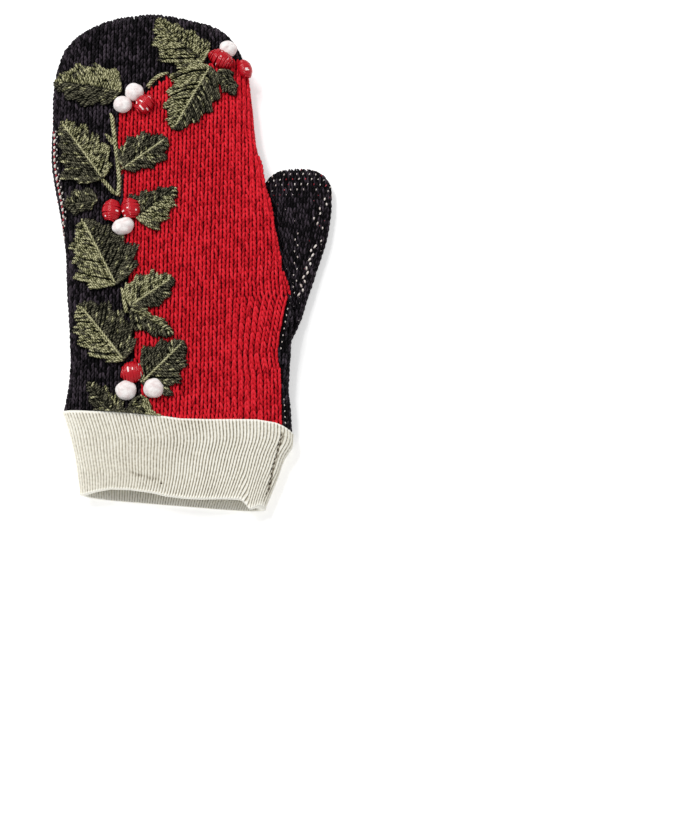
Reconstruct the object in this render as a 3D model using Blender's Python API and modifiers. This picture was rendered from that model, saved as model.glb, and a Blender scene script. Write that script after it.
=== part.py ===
# Knitted mitten with a ribbed cuff and embroidered holly, lying palm down.
# Metres, +Z up, +Y towards the finger tip, +X towards the thumb.
# The origin is on the flat of the palm, where the mitten rests.

from collections import namedtuple
from math import acos, copysign, cos, hypot, pi, radians, sin, sqrt

import bmesh
import bpy
from mathutils import Matrix, Vector

# Driving dimensions
MM = 0.001
KNIT_WALL = 2.6 * MM
CUFF_WALL = 2.6 * MM
PIECE_GAP = 0.35 * MM
TIP_Y = 133.0 * MM
TIP_ROUNDING = 11.0 * MM
EDGE_LEVEL = 9.0 * MM
THUMB_HEIGHT = 12.2 * MM
THUMB_WALL = 3.1 * MM
SEAM_ALLOWANCE = 0.2 * MM
THUMB_TIP_LENGTH = 13.8 * MM
THUMB_TIP_DEPTH = 6.0 * MM
LEAF_THICKNESS = 1.4 * MM
LEAF_LIFT = 0.55 * MM
LEAF_GAP = 0.8 * MM
BERRY_HEIGHT = 3.4 * MM
BERRY_FOOT = 0.3
VINE_RADIUS = 0.9 * MM

# Roundness of the flattened tubes: 2 is an ellipse, more is squarer
HAND_SQUARE = 3.0
CUFF_SQUARE = 2.9
THUMB_SQUARE = 2.3
THUMB_ROOT_SQUARE = 3.5
THUMB_ROOT = (1.0, 3.0)
FLAT_SOLE = 1.12

# Where the edge of the hand lies on top of the thumb
LIFTED_EDGE = 16.2 * MM
LIFTED_SOLE = 12.9 * MM
LIFT_FROM = (-62.0 * MM, -36.0 * MM)
LIFT_TO = (44.0 * MM, 70.0 * MM)

# How far the palm cloth shows on top of the back, at the left and right edges
LEFT_WRAP = 4.0 * MM
LEFT_WRAP_FROM = (12.0 * MM, 26.0 * MM)
LEFT_WRAP_TO = (66.0 * MM, 78.0 * MM)
RIGHT_WRAP = 4.0 * MM
RIGHT_WRAP_TO = (-58.0 * MM, -34.0 * MM)

# Sections of the hand across the palm, from the wrist to the tip, in mm
Section = namedtuple("Section", "left_x left_y right_x right_y crown")
HAND = [
    Section(-60.0, -75.1, 47.6, -96.3, 18.8),
    Section(-57.4, -59.0, 49.2, -74.0, 19.6),
    Section(-56.2, -43.0, 50.8, -53.0, 20.4),
    Section(-56.0, -27.0, 53.0, -30.0, 20.8),
    Section(-56.3, -12.0, 51.2, -12.0, 21.0),
    Section(-55.6, 6.0, 50.6, 6.0, 21.0),
    Section(-57.6, 28.0, 47.8, 28.0, 20.6),
    Section(-60.1, 53.0, 44.4, 53.0, 20.0),
    Section(-58.5, 76.0, 43.3, 76.0, 19.6),
    Section(-56.9, 95.0, 42.4, 95.0, 19.2),
    Section(-52.9, 111.0, 37.6, 111.0, 18.8),
    Section(-46.6, 120.6, 29.6, 120.6, 18.4),
    Section(-38.0, 126.4, 16.0, 126.4, 18.0),
    Section(-29.0, 130.2, 6.0, 130.2, 18.0),
    Section(-20.5, 132.2, -1.0, 132.2, 18.0),
    Section(-12.5, 132.98, -7.5, 132.98, 18.0),
]
LAST_ROW = len(HAND) - 1
EVEN_ROWS = 10
SLANT_ROW = 8.0
THUMB_TOP_ROW = 6.0
THUMB_OPENING = 0.25
THUMB_HOLE_START = -0.011

# Sections of the cuff, from its top edge down to its rim, in mm
CUFF = [
    Section(-61.2, -75.5, 48.9, -97.0, 20.0),
    Section(-58.6, -87.0, 47.9, -103.0, 18.8),
    Section(-56.8, -97.5, 43.2, -109.5, 17.6),
    Section(-55.9, -108.0, 39.4, -118.0, 16.6),
    Section(-55.3, -117.0, 32.0, -132.6, 15.8),
]

# Sections across the thumb, from inside the palm outwards, in mm and degrees
Ring = namedtuple("Ring", "x y lean half_width")
THUMB = [
    Ring(24.0, -66.0, 24.0, 14.0),
    Ring(39.0, -36.0, 24.0, 17.3),
    Ring(46.0, -20.5, 26.0, 17.3),
    Ring(52.0, -6.5, 21.0, 17.3),
    Ring(57.7, 8.0, 16.0, 17.3),
    Ring(60.4, 19.0, 10.0, 17.3),
    Ring(61.5, 28.0, 4.0, 17.3),
]

# Where the black and the red fields of the back meet, in mm
Corner = namedtuple("Corner", "y x")
COLOUR_LINE = [
    Corner(-100.0, -20.5),
    Corner(-54.0, -23.0),
    Corner(-13.0, -24.3),
    Corner(33.0, -25.1),
    Corner(75.5, -25.8),
    Corner(78.5, -25.0),
    Corner(82.0, -17.9),
    Corner(87.0, -8.5),
    Corner(92.0, 1.0),
    Corner(96.0, 13.3),
    Corner(98.6, 26.1),
    Corner(100.6, 39.0),
]

# Leaves: the run of the midrib, and how far each point of the leaf reaches out on
# the left and right of it, from base to tip, in mm
Leaf = namedtuple("Leaf", "name base_x base_y tip_x tip_y left right tone")
LEAVES = [
    Leaf("leaf_over_tip", 20.0, 98.5, -1.1, 124.4, (11.5, 15.3, 11.8), (10.5, 9.0, 5.8), "light"),
    Leaf("leaf_top_right", 23.4, 95.6, 2.9, 62.4, (8.5, 12.3, 12.1, 9.0), (12.5, 15.4, 13.0, 11.5), "mixed"),
    Leaf("leaf_top_small", 27.4, 93.0, 34.4, 80.0, (6.2, 4.4), (3.5, 4.2), "dark"),
    Leaf("leaf_top_left", -22.0, 85.6, -55.0, 96.6, (8.7, 11.4, 9.3), (12.5, 13.0, 11.5), "mixed"),
    Leaf("leaf_upper_left", -33.7, 39.2, -52.7, 73.5,
         (10.5, 16.5, 12.0, 8.5), (8.5, 12.3, 11.0, 8.8), "mixed"),
    Leaf("leaf_upper_right", -23.2, 43.6, -0.8, 58.0, (10.8, 13.0, 10.5), (5.4, 8.6, 9.2), "dark"),
    Leaf("leaf_left_small", -37.0, 28.3, -53.4, 28.7, (4.6, 6.2), (7.4, 7.6), "dark"),
    Leaf("leaf_middle_right", -18.7, 17.1, 1.9, 31.0, (11.5, 9.5, 5.5), (12.8, 10.8, 7.8), "mixed"),
    Leaf("leaf_middle_left", -30.6, -16.9, -44.8, 19.3,
         (12.5, 16.6, 13.5, 12.4), (14.5, 18.5, 12.5, 7.2), "mixed"),
    Leaf("leaf_lower_right", -24.1, -28.6, -2.6, -16.0, (11.8, 12.0, 9.5), (5.0, 8.4, 7.2), "mixed"),
    Leaf("leaf_lower_small", -24.2, -30.8, -4.7, -44.8, (4.2, 4.4), (7.0, 5.8), "mixed"),
    Leaf("leaf_lower_left", -29.1, -55.5, -48.9, -24.2,
         (7.0, 11.5, 12.5, 10.0), (11.0, 13.8, 12.3, 10.0), "mixed"),
    Leaf("leaf_bottom_right", -21.3, -67.5, 0.4, -48.9, (7.5, 12.5, 9.0), (14.5, 12.8, 10.0), "dark"),
    Leaf("leaf_cuff_left", -31.0, -88.3, -47.0, -64.4, (5.0, 7.0, 5.5), (6.5, 8.0, 5.5), "dark"),
    Leaf("leaf_cuff_middle", -22.3, -73.7, -20.8, -91.5, (4.0, 7.0), (7.4, 7.8), "mixed"),
]
LEAF_LANES = (-1.0, -0.5, 0.0, 0.5, 1.0)
POINTS_SPAN = 0.8
FIRST_POINT = 0.8
NOTCH_PLACE = 0.3
NOTCH_WIDTH = 0.78
LEAF_END = 0.02

# Berries: centre, half axes and turn, in mm and degrees
Berry = namedtuple("Berry", "name x y half_long half_wide turn colour")
BERRIES = [
    Berry("berry_red_top", 29.0, 99.8, 6.2, 4.4, -35.0, "red"),
    Berry("berry_white_top", 32.9, 105.4, 4.6, 4.4, 0.0, "white"),
    Berry("berry_red_edge", 41.0, 94.4, 5.0, 3.6, 100.0, "red"),
    Berry("berry_white_upper", -15.3, 84.6, 4.8, 4.6, 20.0, "white"),
    Berry("berry_white_upper_left", -21.5, 78.2, 4.6, 4.5, 0.0, "white"),
    Berry("berry_red_upper", -10.7, 77.4, 5.4, 4.2, 45.0, "red"),
    Berry("berry_red_middle_left", -30.4, 21.7, 5.6, 4.4, 80.0, "red"),
    Berry("berry_red_middle", -21.0, 21.7, 5.3, 4.5, 95.0, "red"),
    Berry("berry_white_middle", -25.1, 12.8, 5.5, 4.3, 10.0, "white"),
    Berry("berry_red_lower", -25.6, -61.9, 5.2, 5.0, 0.0, "red"),
    Berry("berry_white_lower_left", -29.0, -70.6, 5.1, 4.8, 0.0, "white"),
    Berry("berry_white_lower", -15.8, -70.9, 4.9, 4.8, 0.0, "white"),
]
BERRY_SIDES = 12
BERRY_RINGS = 6

# Vine stems: the points they pass through on the back, in mm
VINES = {
    "vine_top": ((2.4, 93.4), (-2.0, 92.9), (-5.6, 90.4), (-8.6, 87.0)),
    "vine_upper": ((-27.2, 72.4), (-26.9, 65.0), (-26.6, 58.5), (-26.2, 51.4), (-25.8, 44.3), (-25.8, 36.0),
                   (-26.8, 29.4)),
    "vine_upper_left": ((-33.2, 37.6), (-31.6, 35.4), (-29.6, 32.2)),
    "vine_lower": ((-27.4, -18.6), (-27.2, -22.8), (-26.8, -27.5), (-26.4, -31.6)),
}
VINE_STEP = 3.2 * MM

# Base colour, roughness and metallic value of each finish
FINISHES = {
    "black wool": ((0.011, 0.009, 0.010), 0.95, 0.0),
    "red wool": ((0.52, 0.02, 0.03), 0.92, 0.0),
    "patterned wool": ((0.016, 0.013, 0.015), 0.95, 0.0),
    "cream wool rib": ((0.72, 0.68, 0.57), 0.9, 0.0),
    "light green thread": ((0.29, 0.30, 0.13), 0.75, 0.0),
    "dark green thread": ((0.075, 0.085, 0.05), 0.75, 0.0),
    "red silk thread": ((0.56, 0.01, 0.02), 0.3, 0.0),
    "white felt": ((0.85, 0.8, 0.79), 0.95, 0.0),
}


def empty_scene():
    for thing in list(bpy.context.scene.objects):
        bpy.data.objects.remove(thing)


def new_collection(name):
    collection = bpy.data.collections.new(name)
    bpy.context.scene.collection.children.link(collection)
    return collection


def finish(name):
    """The finish's material, with colour, roughness and metallic value."""
    material = bpy.data.materials.get(name)
    if material is None:
        colour, roughness, metallic = FINISHES[name]
        material = bpy.data.materials.new(name)
        material.use_nodes = True
        shader = material.node_tree.nodes["Principled BSDF"]
        shader.inputs["Base Color"].default_value = (*colour, 1.0)
        shader.inputs["Roughness"].default_value = roughness
        shader.inputs["Metallic"].default_value = metallic
    return material


def smooth(value):
    """0 below 0, 1 above 1, and an even turn between them."""
    value = min(max(value, 0.0), 1.0)
    return value * value * (3.0 - 2.0 * value)


def between(value, low_high):
    return smooth((value - low_high[0]) / (low_high[1] - low_high[0]))


def spread(low, high, steps):
    return [low + (high - low) * step / steps for step in range(steps + 1)]


def along(rows, place):
    """A row of the table at a place between its rows, on a smooth curve through them."""
    index = min(int(place), len(rows) - 2)
    part = place - index
    before, start = rows[max(index - 1, 0)], rows[index]
    end, after = rows[index + 1], rows[min(index + 2, len(rows) - 1)]
    curved = []
    for a, b, c, d in zip(before, start, end, after):
        slope_b, slope_c = (c - a) / 2, (d - b) / 2
        curved.append(b + part * slope_b
                      + part ** 2 * (3 * (c - b) - 2 * slope_b - slope_c)
                      + part ** 3 * (2 * (b - c) + slope_b + slope_c))
    return type(start)(*curved)


def section_at(rows, place):
    """Middle, half span and crown of a section, in metres."""
    row = along(rows, place)
    middle = Vector((row.left_x + row.right_x, row.left_y + row.right_y)) * (MM / 2)
    half = Vector((row.right_x - row.left_x, row.right_y - row.left_y)) * (MM / 2)
    return middle, half, row.crown * MM


def power(value, square):
    return copysign(abs(value) ** (2.0 / square), value)


def lift_at(x, y, edge_x):
    """How much, from 0 to 1, the hand is lifted off the ground by the thumb under its edge."""
    width = (15.0 * MM + 0.34 * (28.0 * MM - y))
    length_share = between(y, LIFT_FROM) * (1.0 - between(y, LIFT_TO))
    return length_share * smooth((x - edge_x + width) / (0.6 * width))


def hand_levels(x, y, edge_x, crown):
    """Heights of the crown, of the edge and of the underside at a place in the hand."""
    near_tip = max(1.0 - (TIP_Y - y) / TIP_ROUNDING, 0.0)
    fullness = sqrt(max(1.0 - near_tip ** 2, 0.0))
    lift = lift_at(x, y, edge_x)
    edge = EDGE_LEVEL + (LIFTED_EDGE - EDGE_LEVEL) * lift
    top = edge + (crown - edge) * fullness
    sole = EDGE_LEVEL * (1.0 - fullness) + LIFTED_SOLE * lift * fullness
    return top, edge, sole


def hand_heights(place, share):
    """Top and bottom of the hand at a share, from -1 to 1, of a section's half span."""
    middle, half, crown = section_at(HAND, place)
    spot = middle + half * share
    top, edge, sole = hand_levels(spot.x, spot.y, middle.x + half.x, crown)
    rise = (1.0 - min(abs(share), 1.0) ** HAND_SQUARE) ** (1.0 / HAND_SQUARE)
    upper = edge + (top - edge) * rise
    lower = sole + (edge - sole) * max(1.0 - FLAT_SOLE * rise, 0.0)
    return spot, upper, lower


def hand_point(place, turn):
    """Outside of the hand: turn runs from the thumb edge over the back to the far edge."""
    spot, upper, lower = hand_heights(place, power(cos(turn), HAND_SQUARE))
    return Vector((spot.x, spot.y, upper if sin(turn) >= 0.0 else lower))


def cavity_point(place, turn, wall):
    """Inside of the hand, at least a wall's thickness from the outside."""
    tip_share = max(place - EVEN_ROWS, 0.0) / (LAST_ROW - EVEN_ROWS)
    inner_place = place - tip_share * (LAST_ROW - cavity_end(wall))
    middle, half, _ = section_at(HAND, inner_place)
    lifted = lift_at(middle.x + half.x, middle.y, middle.x + half.x)
    left = -1.0 + 1.35 * wall / half.x
    right = 1.0 - (1.35 + lifted) * wall / half.x
    share = (left + right) / 2 + (right - left) / 2 * power(cos(turn), HAND_SQUARE)
    spot, upper, lower = hand_heights(inner_place, share)
    near_tip = max(1.0 - (TIP_Y - wall - spot.y) / (TIP_ROUNDING - wall), 0.0)
    fullness = sqrt(max(1.0 - near_tip ** 2, 0.0004))
    depth = ((upper - lower) / 2 - wall) * fullness
    return Vector((spot.x, spot.y, (upper + lower) / 2 + depth * power(sin(turn), HAND_SQUARE)))


def cavity_end(wall):
    """Place among the hand's sections where its inside ends, a wall short of the tip."""
    low, high = float(EVEN_ROWS), float(LAST_ROW)
    for _ in range(30):
        trial = (low + high) / 2
        if section_at(HAND, trial)[0].y < TIP_Y - wall:
            low = trial
        else:
            high = trial
    return low


def turn_of(place, x):
    """Turn at which the outside of the back passes over x."""
    middle, half, _ = section_at(HAND, place)
    share = min(max((x - middle.x) / half.x, -1.0), 1.0)
    return acos(copysign(abs(share) ** (HAND_SQUARE / 2), share))


def seam_turns(place):
    """Turns at which the palm cloth meets the back, at the thumb edge and the far edge."""
    middle, half, _ = section_at(HAND, place)
    left, right = middle - half, middle + half
    left_wrap = LEFT_WRAP * between(left.y, LEFT_WRAP_FROM) * (1.0 - between(left.y, LEFT_WRAP_TO))
    right_wrap = RIGHT_WRAP * (1.0 - between(right.y, RIGHT_WRAP_TO))
    return turn_of(place, right.x - right_wrap), turn_of(place, left.x + left_wrap)


def colour_x(y):
    """The line between the two fields at y, and how far it runs sideways for each step along."""
    index = 0
    while index < len(COLOUR_LINE) - 2 and COLOUR_LINE[index + 1].y * MM < y:
        index += 1
    start, end = COLOUR_LINE[index], COLOUR_LINE[index + 1]
    slope = (end.x - start.x) / (end.y - start.y)
    return (start.x + slope * (y / MM - start.y)) * MM, slope


def colour_turn(place, side):
    """Turn of the line between the fields, half a gap to the side named."""
    middle, half, _ = section_at(HAND, place)
    y = middle.y
    for _ in range(3):
        x, slope = colour_x(y)
        y = middle.y + half.y * (x - middle.x) / half.x
    return turn_of(place, x + side * PIECE_GAP / 2 * hypot(1.0, slope))


def gap_turn(place, turn):
    """Half a gap, as a turn at that place of the section."""
    step = 0.002
    reach = (hand_point(place, turn + step) - hand_point(place, turn - step)).length
    return min(PIECE_GAP / 2 * 2 * step / max(reach, 1e-7), 0.5)


def wall_mesh(name, outer, inner, closed=False):
    """A wall between two grids of points: rows of them, open or closed around."""
    mesh = bmesh.new()
    outside = [[mesh.verts.new(point) for point in row] for row in outer]
    inside = [[mesh.verts.new(point) for point in row] for row in inner]
    rows, columns = len(outer), len(outer[0])
    for row in range(rows - 1):
        for column in range(columns if closed else columns - 1):
            after = (column + 1) % columns
            mesh.faces.new((outside[row][column], outside[row][after],
                            outside[row + 1][after], outside[row + 1][column]))
            mesh.faces.new((inside[row + 1][column], inside[row + 1][after],
                            inside[row][after], inside[row][column]))
        if not closed:
            for column in (0, -1):
                mesh.faces.new((outside[row][column], outside[row + 1][column],
                                inside[row + 1][column], inside[row][column]))
    for row in (0, rows - 1):
        for column in range(columns if closed else columns - 1):
            after = (column + 1) % columns
            mesh.faces.new((outside[row][column], outside[row][after],
                            inside[row][after], inside[row][column]))
    return finished_mesh(name, mesh)


def loft_mesh(name, rings):
    """A closed solid through rings of points, with flat ends."""
    mesh = bmesh.new()
    loops = [[mesh.verts.new(point) for point in ring] for ring in rings]
    count = len(rings[0])
    for near, far in zip(loops, loops[1:]):
        for index in range(count):
            after = (index + 1) % count
            mesh.faces.new((near[index], near[after], far[after], far[index]))
    mesh.faces.new(loops[0])
    mesh.faces.new(loops[-1])
    return finished_mesh(name, mesh)


def finished_mesh(name, mesh):
    bmesh.ops.recalc_face_normals(mesh, faces=mesh.faces)
    bmesh.ops.triangulate(mesh, faces=mesh.faces)
    data = bpy.data.meshes.new(name)
    mesh.to_mesh(data)
    mesh.free()
    data.shade_smooth()
    data.set_sharp_from_angle(angle=radians(50.0))
    return data


def add_piece(name, data, material):
    piece = bpy.data.objects.new(name, data)
    piece.data.materials.append(finish(material))
    mitten.objects.link(piece)
    return piece


def add_cutter(name, data):
    cutter = bpy.data.objects.new(name, data)
    cutter.hide_render = True
    cutter.display_type = "WIRE"
    cutters.objects.link(cutter)
    return cutter


def cut(piece, cutter, operation="DIFFERENCE"):
    modifier = piece.modifiers.new(cutter.name, "BOOLEAN")
    modifier.operation = operation
    modifier.object = cutter
    modifier.solver = "EXACT"


def red_end():
    """Place among the hand's sections where the red field runs out at the thumb edge."""
    last = COLOUR_LINE[-1].y * MM
    place = float(EVEN_ROWS)
    while section_at(HAND, place)[0].y > last:
        place -= 0.01
    return place


def hand_places():
    """Places of the section rows that the cloth panels are built through."""
    palm = spread(0.0, SLANT_ROW, 12)
    slanted = spread(SLANT_ROW, red_end(), 4)
    shoulder = spread(red_end(), float(EVEN_ROWS), 2)
    tip = [float(place) for place in range(EVEN_ROWS + 1, LAST_ROW + 1)]
    return palm + slanted[1:] + shoulder[1:] + tip


def panel(name, material, places, first_turn, last_turn, columns):
    """A panel of the knitted wall between two seams, given as turns at each place."""
    outer, inner = [], []
    for place in places:
        turns = spread(first_turn(place), last_turn(place), columns)
        outer.append([hand_point(place, turn) for turn in turns])
        inner.append([cavity_point(place, turn, KNIT_WALL) for turn in turns])
    return add_piece(name, wall_mesh(name, outer, inner), material)


def back_start(place):
    turn = seam_turns(place)[0]
    return turn + gap_turn(place, turn)


def back_end(place):
    turn = seam_turns(place)[1]
    return turn - gap_turn(place, turn)


def palm_start(place):
    turn = seam_turns(place)[0]
    return turn - gap_turn(place, turn)


def palm_end(place):
    turn = seam_turns(place)[1]
    return turn + gap_turn(place, turn) - 2 * pi


def black_start(place):
    """The black field starts at the colour line, and past its end at the thumb edge."""
    if place <= red_end():
        return colour_turn(place, -1.0)
    return back_start(place)


def build_back():
    places = hand_places()
    end = red_end()
    panel("back_black", "black wool", places, black_start, back_end, 9)
    panel("back_red", "red wool", [place for place in places if place <= end], back_start,
          lambda place: colour_turn(place, 1.0), 12)


def thumb_ring(place, inset, extra, sides=20):
    """A ring round the thumb: place along its table, then extra metres on into the tip."""
    ring = along(THUMB, place)
    square = THUMB_SQUARE + THUMB_ROOT_SQUARE * (1.0 - between(place, THUMB_ROOT))
    lean = radians(ring.lean)
    across = Vector((cos(lean), -sin(lean), 0.0))
    ahead = Vector((sin(lean), cos(lean), 0.0))
    reach = THUMB_TIP_LENGTH - inset
    plan = (1.0 - (extra / reach) ** THUMB_SQUARE) ** (1.0 / THUMB_SQUARE)
    depth_share = max(extra - (THUMB_TIP_LENGTH - THUMB_TIP_DEPTH), 0.0) / (THUMB_TIP_DEPTH - inset)
    depth = sqrt(max(1.0 - depth_share ** 2, 0.001))
    centre = Vector((ring.x * MM, ring.y * MM, 0.0)) + ahead * extra
    half_width = (ring.half_width * MM - inset) * plan
    half_height = (THUMB_HEIGHT / 2 - inset) * depth
    points = []
    for step in range(sides):
        turn = 2 * pi * step / sides
        side = across * (half_width * power(cos(turn), square))
        height = THUMB_HEIGHT / 2 + half_height * power(sin(turn), square)
        points.append(centre + side + Vector((0.0, 0.0, height)))
    return points


def thumb_mesh(name, inset, first):
    """The thumb's outside, or its inside when inset by the wall, from a place along its table."""
    last = float(len(THUMB) - 1)
    rings = [thumb_ring(place, inset, 0.0) for place in spread(first, last, 2 * len(THUMB) - 2)]
    reach = THUMB_TIP_LENGTH - inset
    for share in (0.3, 0.55, 0.75, 0.9, 0.98):
        rings.append(thumb_ring(last, inset, reach * share))
    return loft_mesh(name, rings)


def build_palm():
    """The palm panel, with the hole that the thumb is worked out of."""
    piece = panel("palm", "patterned wool", hand_places(), palm_start, palm_end, 20)
    hole = thumb_mesh("thumb_hole", -PIECE_GAP, THUMB_HOLE_START)
    cut(piece, add_cutter("thumb_hole", hole))


def build_thumb():
    """The thumb tube with the gusset at its root, open to the hand's inside."""
    piece = add_piece("thumb", thumb_mesh("thumb", 0.0, 0.0), "patterned wool")
    rings = []
    turns = [2 * pi * step / 32 for step in range(32)]
    for place in hand_places():
        if place > THUMB_TOP_ROW:
            break
        rings.append([cavity_point(place, turn, KNIT_WALL - SEAM_ALLOWANCE) for turn in turns])
    mouth = [point + Vector((0.0, -20.0 * MM, 0.0)) for point in rings[0]]
    inside = thumb_mesh("thumb_inside", THUMB_WALL, -THUMB_OPENING)
    cut(piece, add_cutter("thumb_inside", inside))
    cut(piece, add_cutter("hand_inside", loft_mesh("hand_inside", [mouth] + rings)))


def cuff_ring(place, inset, sides=48):
    middle, half, crown = section_at(CUFF, place)
    side_share = 1.0 - 1.3 * inset / half.x
    points = []
    for step in range(sides):
        turn = 2 * pi * step / sides
        share = side_share * power(cos(turn), CUFF_SQUARE)
        rise = power(sin(turn), CUFF_SQUARE)
        if rise < 0.0:
            rise = max(rise * FLAT_SOLE, -1.0)
        height = crown / 2 + (crown / 2 - inset) * rise
        spot = middle + half * share
        points.append(Vector((spot.x, spot.y, height)))
    return points


def build_cuff():
    places = spread(0.0, float(len(CUFF) - 1), 8)
    outer = [cuff_ring(place, 0.0) for place in places]
    inner = [cuff_ring(place, CUFF_WALL) for place in places]
    add_piece("cuff", wall_mesh("cuff", outer, inner, closed=True), "cream wool rib")


def back_place(x, y):
    """Place of the section that passes over x and y."""
    low, high = 0.0, float(LAST_ROW)
    for _ in range(24):
        trial = (low + high) / 2
        middle, half, _ = section_at(HAND, trial)
        if middle.y + half.y * (x - middle.x) / half.x < y:
            low = trial
        else:
            high = trial
    return low


def back_height(x, y):
    place = back_place(x, y)
    middle, half, _ = section_at(HAND, place)
    share = min(max((x - middle.x) / half.x, -0.975), 0.975)
    spot, upper, _ = hand_heights(place, share)
    return Vector((spot.x, y, upper))


def back_frame(x, y):
    """Point on the back over x and y, and the direction straight out of it."""
    step = 1.0 * MM
    point = back_height(x, y)
    toward = -copysign(1.0, point.x + 7.0 * MM)
    across = (back_height(point.x + toward * step, y) - point) * toward
    ahead = back_height(point.x, y + step) - back_height(point.x, y - step)
    return point, across.cross(ahead).normalized()


def leaf_edge(points):
    """One side of a leaf: shares of its length and half widths, at each point and notch."""
    edge = [(0.0, 0.0)]
    step = POINTS_SPAN / len(points)
    ends = [(step * (index + FIRST_POINT), reach) for index, reach in enumerate(points)]
    for near, far in zip(ends, ends[1:] + [(1.0, 0.0)]):
        notch = [a + (b - a) * NOTCH_PLACE for a, b in zip(near, far)]
        edge += [near, (notch[0], notch[1] * NOTCH_WIDTH)]
    return edge + [(1.0, 0.0)]


def leaf_width(leaf, side, share):
    """Half width of a leaf at a share of its length, on its left (1) or right (-1)."""
    edge = leaf_edge(leaf.left if side > 0 else leaf.right)
    for near, far in zip(edge, edge[1:]):
        if share <= far[0]:
            break
    return (near[1] + (far[1] - near[1]) * (share - near[0]) / (far[0] - near[0])) * MM


def leaf_lane(leaf, share, lane):
    """Place in plan of a leaf's point: share along the midrib, lane from -1 to 1 across."""
    base = Vector((leaf.base_x, leaf.base_y)) * MM
    rib = Vector((leaf.tip_x, leaf.tip_y)) * MM - base
    out = Vector((-rib.y, rib.x)).normalized()
    side = 1.0 if lane > 0 else -1.0
    return base + rib * share + out * (lane * leaf_width(leaf, side, share))


def leaf_outline(leaf, grow):
    """The leaf's outline, widened by a gap, run round from base to tip and back."""
    shares = [share for share, _ in leaf_edge(leaf.left)]
    right = [leaf_lane(leaf, share, -1.0) for share in shares]
    left = [leaf_lane(leaf, share, 1.0) for share in reversed(shares[1:-1])]
    outline = right + left
    middle = sum(outline, Vector((0.0, 0.0))) / len(outline)
    return [point + (point - middle).normalized() * grow for point in outline]


def prism(name, outline):
    """An upright cutter over an outline in plan."""
    rings = [[Vector((point.x, point.y, height)) for point in outline] for height in (4.0 * MM, 40.0 * MM)]
    return add_cutter(name, loft_mesh(name, rings))


def berry_outline(berry, grow, sides=16):
    turn = radians(berry.turn)
    points = []
    for step in range(sides):
        angle = 2 * pi * step / sides
        long = (berry.half_long * MM + grow) * cos(angle)
        wide = (berry.half_wide * MM + grow) * sin(angle)
        points.append(Vector((berry.x * MM + long * cos(turn) - wide * sin(turn),
                              berry.y * MM + long * sin(turn) + wide * cos(turn))))
    return points


def reach_of(outline):
    middle = sum(outline, Vector((0.0, 0.0))) / len(outline)
    return middle, max((point - middle).length for point in outline)


def meet(first, second):
    """Whether two outlines in plan may touch."""
    (middle_a, reach_a), (middle_b, reach_b) = reach_of(first), reach_of(second)
    return (middle_a - middle_b).length < reach_a + reach_b


def leaf_mesh(leaf):
    mesh = bmesh.new()
    grid = []
    for share, _ in leaf_edge(leaf.left):
        share = min(max(share, LEAF_END), 1.0 - LEAF_END)
        row = []
        for lane in LEAF_LANES:
            spot = leaf_lane(leaf, share, lane)
            point, out = back_frame(spot.x, spot.y)
            crease = 0.25 * MM * (1.0 - abs(lane)) ** 2
            row.append(mesh.verts.new(point + out * (LEAF_LIFT + LEAF_THICKNESS - crease)))
        grid.append(row)
    for near, far in zip(grid, grid[1:]):
        for index in range(len(LEAF_LANES) - 1):
            mesh.faces.new((near[index], far[index], far[index + 1], near[index + 1]))
    data = bpy.data.meshes.new(leaf.name)
    mesh.to_mesh(data)
    mesh.free()
    data.shade_smooth()
    return data


def build_leaves():
    """Padded leaves, each stopping short of the berries, the cuff and the leaves sewn before it."""
    berry_prisms = []
    for berry in BERRIES:
        outline = berry_outline(berry, PIECE_GAP)
        berry_prisms.append((outline, prism("round_" + berry.name, outline)))
    cuff_edge = cuff_line_cutter()
    sewn = []
    for leaf in LEAVES:
        material = "light green thread" if leaf.tone == "light" else "dark green thread"
        piece = add_piece(leaf.name, leaf_mesh(leaf), material)
        wall = piece.modifiers.new("padding", "SOLIDIFY")
        wall.thickness = LEAF_THICKNESS
        wall.offset = -1.0
        outline = leaf_outline(leaf, LEAF_GAP)
        for other, cutter in berry_prisms + sewn:
            if meet(outline, other):
                cut(piece, cutter)
        if min(point.y for point in outline) < -70.0 * MM:
            cut(piece, cuff_edge)
        sewn.append((outline, prism("round_" + leaf.name, outline)))


def cuff_line_cutter():
    """A block over the cuff, which ends the lowest leaves along its top edge."""
    edge = CUFF[0]
    slope = Vector((edge.right_x - edge.left_x, edge.right_y - edge.left_y)).normalized()
    inward = Vector((slope.y, -slope.x))
    start = Vector((edge.left_x, edge.left_y)) * MM - inward * 2 * PIECE_GAP
    far = start + slope * 120.0 * MM
    outline = [start, far, far + inward * 40.0 * MM, start + inward * 40.0 * MM]
    return prism("round_cuff", outline)


def berry_mesh(berry):
    """A round berry, domed above and shallow below, set square to the back."""
    mesh = bmesh.new()
    bmesh.ops.create_uvsphere(mesh, u_segments=BERRY_SIDES, v_segments=BERRY_RINGS, radius=1.0)
    point, out = back_frame(berry.x * MM, berry.y * MM)
    turned = Matrix.Rotation(radians(berry.turn), 3, "Z")
    stand = Vector((0.0, 0.0, 1.0)).rotation_difference(out).to_matrix()
    foot = BERRY_HEIGHT * BERRY_FOOT
    for vert in mesh.verts:
        height = vert.co.z * (BERRY_HEIGHT if vert.co.z > 0.0 else foot)
        flat = Vector((vert.co.x * berry.half_long * MM, vert.co.y * berry.half_wide * MM, height))
        vert.co = point + out * (foot + LEAF_LIFT) + stand @ (turned @ flat)
    return finished_mesh(berry.name, mesh)


def build_berries():
    """Berries, each pressed against the ones sewn before it."""
    sewn = []
    for berry in BERRIES:
        material = "red silk thread" if berry.colour == "red" else "white felt"
        piece = add_piece(berry.name, berry_mesh(berry), material)
        outline = berry_outline(berry, PIECE_GAP)
        for other, cutter in sewn:
            if meet(outline, other):
                cut(piece, cutter)
        sewn.append((outline, bpy.data.objects["round_" + berry.name]))


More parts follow.
